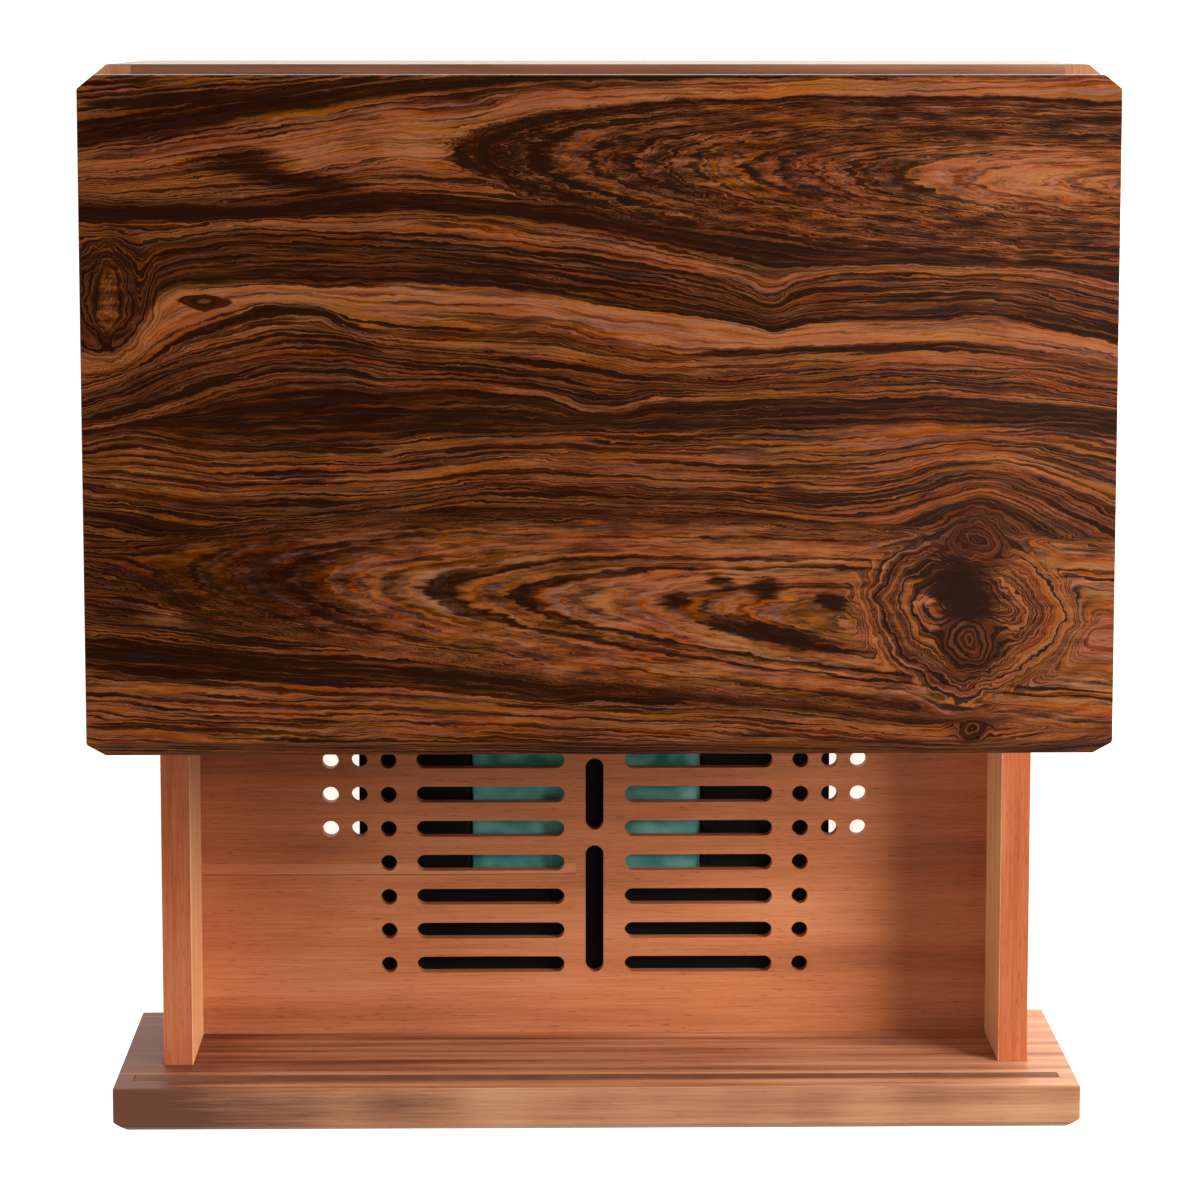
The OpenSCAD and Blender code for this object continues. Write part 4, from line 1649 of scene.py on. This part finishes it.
@dataclass
class Humidifier(Assembly):
    """The humidifier under the floor: a black housing on two cleats, with two clear cells of gel."""

    body: str = "drawer"
    housing_arris: float = 0.5 * MM
    cell_arris: float = 0.25 * MM
    gel_arris: float = 0.6 * MM
    cleat_arris: float = 0.4 * MM
    # Steps of a moulded edge
    rounding: int = 3

    def pieces(self) -> Sequence[Piece]:
        """Lists the humidifier's pieces.

        Returns:
            The housing, the cells, the gel and the cleats.
        """
        return (
            Piece("humidifier_housing", "black_plastic", (BLACK_ABS,), self.housing_arris, self.rounding),
            Piece("humidifier_left_cell", "clear_plastic", (CLEAR_PLASTIC,), self.cell_arris),
            Piece("humidifier_right_cell", "clear_plastic", (CLEAR_PLASTIC,), self.cell_arris),
            Piece("gel_left", "gel", (GEL,), self.gel_arris, self.rounding),
            Piece("gel_right", "gel", (GEL,), self.gel_arris, self.rounding),
            Piece("cleat_front", "hardwood", (HARDWOOD_X,), self.cleat_arris),
            Piece("cleat_back", "hardwood", (HARDWOOD_X,), self.cleat_arris),
        )


@dataclass
class Screws:
    """A set of countersunk screws with slotted heads, at the places of a CAD node's own screws."""

    node: str
    body: str
    slot: str
    finish: Finish
    head_r: float = 2.0 * MM
    head_h: float = 1.0 * MM
    shank_r: float = 0.9 * MM
    groove_w: float = 0.55 * MM
    groove_d: float = 0.45 * MM
    head_sides: int = 32
    shank_sides: int = 20
    # Share of the head's radius beyond which a corner belongs to the head
    head_share: float = 0.9
    seed: int = 4

    def heads(self) -> list[tuple[Vector, Vector]]:
        """Finds the CAD node's own screws.

        Returns:
            The centre of each head's top and the way that it looks.
        """
        work = bmesh.new()
        work.from_mesh(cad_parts[self.node].data)
        bmesh.ops.remove_doubles(work, verts=work.verts, dist=SAME_SPOT)
        left = set(work.verts)
        found = []
        while left:
            stack = [left.pop()]
            solid = []
            while stack:
                vertex = stack.pop()
                solid.append(vertex.co.copy())
                for edge in vertex.link_edges:
                    other = edge.other_vert(vertex)
                    if other in left:
                        left.remove(other)
                        stack.append(other)
            found.append(self.head_of(solid))
        work.free()
        return sorted(found, key=lambda head: tuple(head[0]))

    def head_of(self, solid: list[Vector]) -> tuple[Vector, Vector]:
        """Finds a screw's head.

        Args:
            solid: The corners of one screw.

        Returns:
            The centre of the head's top and the way that it looks.
        """
        low = Vector(min(v[i] for v in solid) for i in range(3))
        high = Vector(max(v[i] for v in solid) for i in range(3))
        middle = (low + high) / 2
        long_axis = max(range(3), key=lambda i: high[i] - low[i])
        span = (high[long_axis] - low[long_axis]) / 2
        reach = self.head_r * self.head_share
        wide = [v for v in solid if (v - middle)[(long_axis + 1) % 3] > reach]
        look = Vector((0.0, 0.0, 0.0))
        look[long_axis] = 1.0 if wide[0][long_axis] > middle[long_axis] else -1.0
        return middle + look * span, look

    def length(self, heads: list[tuple[Vector, Vector]]) -> float:
        """Finds the screws' length from those that look the same way as the first.

        Args:
            heads: The top and the look of each head.

        Returns:
            The length.
        """
        low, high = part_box(self.node)
        look = heads[0][1]
        axis = max(range(3), key=lambda i: abs(look[i]))
        end = low[axis] if look[axis] > 0 else high[axis]
        return abs(heads[0][0][axis] - end)

    def tree(self) -> Tree:
        """Builds the Geometry Nodes tree that sets a screw at each point.

        Returns:
            The tree.
        """
        tree = bpy.data.node_groups.new(f"{self.node}_tree", "GeometryNodeTree")
        face = tree.interface
        face.new_socket("Geometry", in_out="INPUT", socket_type="NodeSocketGeometry")
        for name in (
            "Head radius", "Head height", "Shank radius", "Length", "Groove width", "Groove depth"
        ):
            face.new_socket(name, in_out="INPUT", socket_type="NodeSocketFloat")
        face.new_socket("Seed", in_out="INPUT", socket_type="NodeSocketInt")
        face.new_socket("Geometry", in_out="OUTPUT", socket_type="NodeSocketGeometry")
        given = add_node(tree, "NodeGroupInput").outputs
        head_down = add_node(
            tree, "ShaderNodeMath", {0: given["Head height"], 1: -1.0}, operation="MULTIPLY"
        )
        screw = add_node(tree, "GeometryNodeJoinGeometry")
        for solid in (self.slotted_head(tree, given, head_down), self.shank(tree, given, head_down)):
            tree.links.new(solid.outputs[0], screw.inputs[0])
        look = add_node(tree, "GeometryNodeInputNamedAttribute", {"Name": "look"}, data_type="FLOAT_VECTOR")
        turn = add_node(
            tree, "FunctionNodeAlignRotationToVector", {"Vector": look.outputs["Attribute"]}, axis="Z"
        )
        spin = add_node(
            tree, "FunctionNodeRandomValue", {2: 0.0, 3: math.pi, "Seed": given["Seed"]}, data_type="FLOAT"
        )
        spin_euler = add_node(tree, "ShaderNodeCombineXYZ", {"Z": spin.outputs[1]})
        turned = add_node(
            tree,
            "FunctionNodeRotateRotation",
            {"Rotation": turn, "Rotate By": spin_euler},
            rotation_space="LOCAL",
        )
        placed = add_node(
            tree,
            "GeometryNodeInstanceOnPoints",
            {"Points": given["Geometry"], "Instance": screw, "Rotation": turned},
        )
        whole = add_node(tree, "GeometryNodeRealizeInstances", {"Geometry": placed})
        metal = self.finish.material()
        dressed = add_node(tree, "GeometryNodeSetMaterial", {"Geometry": whole, "Material": metal})
        add_node(tree, "NodeGroupOutput", {"Geometry": dressed})
        return tree

    def slotted_head(self, tree: Tree, given: Sequence[Socket], head_down: Node) -> Node:
        """Adds the countersunk head, cut right across by its groove.

        Args:
            tree: The screws' tree.
            given: The inputs of the tree.
            head_down: The head's height, downwards.

        Returns:
            A node that gives the head.
        """
        head = add_node(
            tree,
            "GeometryNodeMeshCone",
            {
                "Vertices": self.head_sides,
                "Radius Top": given["Head radius"],
                "Radius Bottom": given["Shank radius"],
                "Depth": given["Head height"],
            },
        )
        head_at = add_node(tree, "ShaderNodeCombineXYZ", {"Z": head_down})
        head_set = add_node(
            tree, "GeometryNodeTransform", {"Geometry": head.outputs["Mesh"], "Translation": head_at}
        )
        # The bar that cuts the groove passes the rim on both sides, and half of it is above the head
        bar_long = add_node(tree, "ShaderNodeMath", {0: given["Head radius"], 1: 3.0}, operation="MULTIPLY")
        bar_tall = add_node(
            tree, "ShaderNodeMath", {0: given["Groove depth"], 1: 2.0}, operation="MULTIPLY"
        )
        bar_size = add_node(
            tree, "ShaderNodeCombineXYZ", {"X": bar_long, "Y": given["Groove width"], "Z": bar_tall}
        )
        bar = add_node(tree, "GeometryNodeMeshCube", {"Size": bar_size})
        return add_node(
            tree,
            "GeometryNodeMeshBoolean",
            {"Mesh 1": head_set, "Mesh 2": bar.outputs["Mesh"]},
            operation="DIFFERENCE",
            solver="EXACT",
        )

    def shank(self, tree: Tree, given: Sequence[Socket], head_down: Node) -> Node:
        """Adds the shank under the head.

        Args:
            tree: The screws' tree.
            given: The inputs of the tree.
            head_down: The head's height, downwards.

        Returns:
            A node that gives the shank.
        """
        long = add_node(
            tree, "ShaderNodeMath", {0: given["Length"], 1: given["Head height"]}, operation="SUBTRACT"
        )
        shank = add_node(
            tree,
            "GeometryNodeMeshCylinder",
            {"Vertices": self.shank_sides, "Radius": given["Shank radius"], "Depth": long},
        )
        middle = add_node(
            tree, "ShaderNodeMath", {0: long, 1: -0.5, 2: head_down}, operation="MULTIPLY_ADD"
        )
        shank_at = add_node(tree, "ShaderNodeCombineXYZ", {"Z": middle})
        return add_node(
            tree, "GeometryNodeTransform", {"Geometry": shank.outputs["Mesh"], "Translation": shank_at}
        )

    def build(self) -> None:
        """Places the screws, makes them one plain mesh and rides it on its body."""
        heads = self.heads()
        points = bpy.data.meshes.new(f"{self.node}_points")
        points.from_pydata([top for top, _ in heads], [], [])
        looks = points.attributes.new("look", "FLOAT_VECTOR", "POINT")
        for item, (_, look) in zip(looks.data, heads):
            item.vector = look
        holder = bpy.data.objects.new(f"{self.node}_holder", points)
        modifier = holder.modifiers.new("screws", "NODES")
        modifier.node_group = self.tree()
        sizes = {
            "Head radius": self.head_r,
            "Head height": self.head_h,
            "Shank radius": self.shank_r,
            "Length": self.length(heads),
            "Groove width": self.groove_w,
            "Groove depth": self.groove_d,
            "Seed": self.seed,
        }
        for item in modifier.node_group.interface.items_tree:
            if item.in_out == "INPUT" and item.name in sizes:
                modifier[item.identifier] = sizes[item.name]
        hand_over(settled(holder), self.node, self.body)


@dataclass(frozen=True)
class SoftBox:
    """A square soft light, with its place, its side in metres, its power in watts and its colour."""

    name: str
    at: tuple[float, float, float]
    size: float
    power: float
    colour: str

    def hang(self, aim: Vector) -> None:
        """Hangs the light.

        Args:
            aim: The place that it looks at.
        """
        data = bpy.data.lights.new(self.name, "AREA")
        data.shape = "SQUARE"
        data.size = self.size
        data.energy = self.power
        data.color = linear(self.colour)[:3]
        lamp = bpy.data.objects.new(self.name, data)
        lamp.location = self.at
        lamp.rotation_euler = (aim - Vector(self.at)).to_track_quat("-Z", "Y").to_euler()
        bpy.context.scene.collection.objects.link(lamp)


@dataclass
class Studio:
    """A pale floor, soft lights, white walls under a dark ceiling, and the camera above the lid."""

    floor_size: float = 12.0
    # Keeps the paper clear of the pad's underside
    floor_gap: float = 0.1 * MM
    camera_at: tuple[float, float, float] = (-0.02314, 0.15243, 1.65951)
    camera_turn: tuple[float, float, float] = (-0.1147, -0.0157, 0.0003)
    lens: float = 114.1
    sensor: float = 36.0
    shift: float = -0.12
    # Near the right, from the left, and above the drawer
    lights: tuple[SoftBox, ...] = (
        SoftBox("key", (1.0, 0.26, 0.75), 0.56, 22.0, "#fff6ee"),
        SoftBox("fill", (-1.2, -0.35, 0.55), 0.9, 5.0, "#fff8f2"),
        SoftBox("sheen", (0.5, -0.16, 1.75), 0.5, 1.0, "#ffffff"),
    )
    aim: tuple[float, float, float] = (0.0, -0.1, 0.05)
    # Brightness of the room from the horizon to the zenith: a dark ceiling keeps the lid free of haze
    room: Stops = ((0.0, 0.3), (0.3, 0.9), (0.68, 0.9), (0.92, 0.03))
    # Share of that brightness at the front of the room and at its back
    room_front: float = 0.3
    room_back: float = 1.2

    def build(self) -> None:
        """Builds the floor, the lights, the sky and the camera."""
        self.lay_floor()
        self.light_sky()
        for light in self.lights:
            light.hang(Vector(self.aim))
        self.set_camera()

    def lay_floor(self) -> None:
        """Lays the studio paper under the object."""
        half = self.floor_size / 2
        mesh = bpy.data.meshes.new("studio_floor")
        level = -self.floor_gap
        corners = [(-half, -half, level), (half, -half, level), (half, half, level), (-half, half, level)]
        mesh.from_pydata(corners, [], [(0, 1, 2, 3)])
        mesh.materials.append(StudioPaper("studio_paper").material())
        floor = bpy.data.objects.new("studio_floor", mesh)
        bpy.context.scene.collection.objects.link(floor)

    def light_sky(self) -> None:
        """Surrounds the scene with white walls under a dark ceiling, in front of a white backdrop."""
        world = bpy.data.worlds.new("studio_sky")
        world.use_nodes = True
        tree = world.node_tree
        tree.nodes.clear()
        where = add_node(tree, "ShaderNodeTexCoord").outputs["Generated"]
        _, y, z = add_node(tree, "ShaderNodeSeparateXYZ", {"Vector": where}).outputs
        stops = [(height, grey(value)) for height, value in self.room]
        fade = set_stops(add_node(tree, "ShaderNodeValToRGB", {"Fac": z}), stops)
        front, back = self.room_front, self.room_back
        share = add_node(
            tree,
            "ShaderNodeMapRange",
            {"Value": y, "From Min": -1.0, "From Max": 1.0, "To Min": front, "To Max": back},
        )
        glow = add_node(tree, "ShaderNodeBackground", {"Color": fade, "Strength": share})
        backdrop = add_node(tree, "ShaderNodeBackground", {"Color": grey(1.0)})
        seen = add_node(tree, "ShaderNodeLightPath").outputs["Is Camera Ray"]
        sky = add_node(tree, "ShaderNodeMixShader", {0: seen, 1: glow, 2: backdrop})
        add_node(tree, "ShaderNodeOutputWorld", {"Surface": sky})
        bpy.context.scene.world = world

    def set_camera(self) -> None:
        """Sets the camera where the photograph was taken from."""
        data = bpy.data.cameras.new("camera")
        data.lens = self.lens
        data.sensor_width = self.sensor
        data.shift_y = self.shift
        camera = bpy.data.objects.new("camera", data)
        camera.location = self.camera_at
        camera.rotation_euler = Euler(self.camera_turn)
        bpy.context.scene.collection.objects.link(camera)
        bpy.context.scene.camera = camera
        bpy.context.scene.view_settings.view_transform = "Standard"


def main() -> None:
    """Builds the humidor and the studio round it."""
    logging.basicConfig(level=logging.INFO, format="%(name)s: %(message)s")
    for part in (Case(), Lid(), Hinges(), Drawer(), Humidifier()):
        part.build()
    for screws in (
        Screws("runner_screws", "case", "steel", STEEL),
        Screws("hinge_case_screws", "case", "brass", BRASS),
        Screws("hinge_lid_screws", "lid", "brass", BRASS),
        Screws("cleat_screws", "drawer", "steel", STEEL),
    ):
        screws.build()
    Studio().build()


if __name__ == "__main__":
    main()
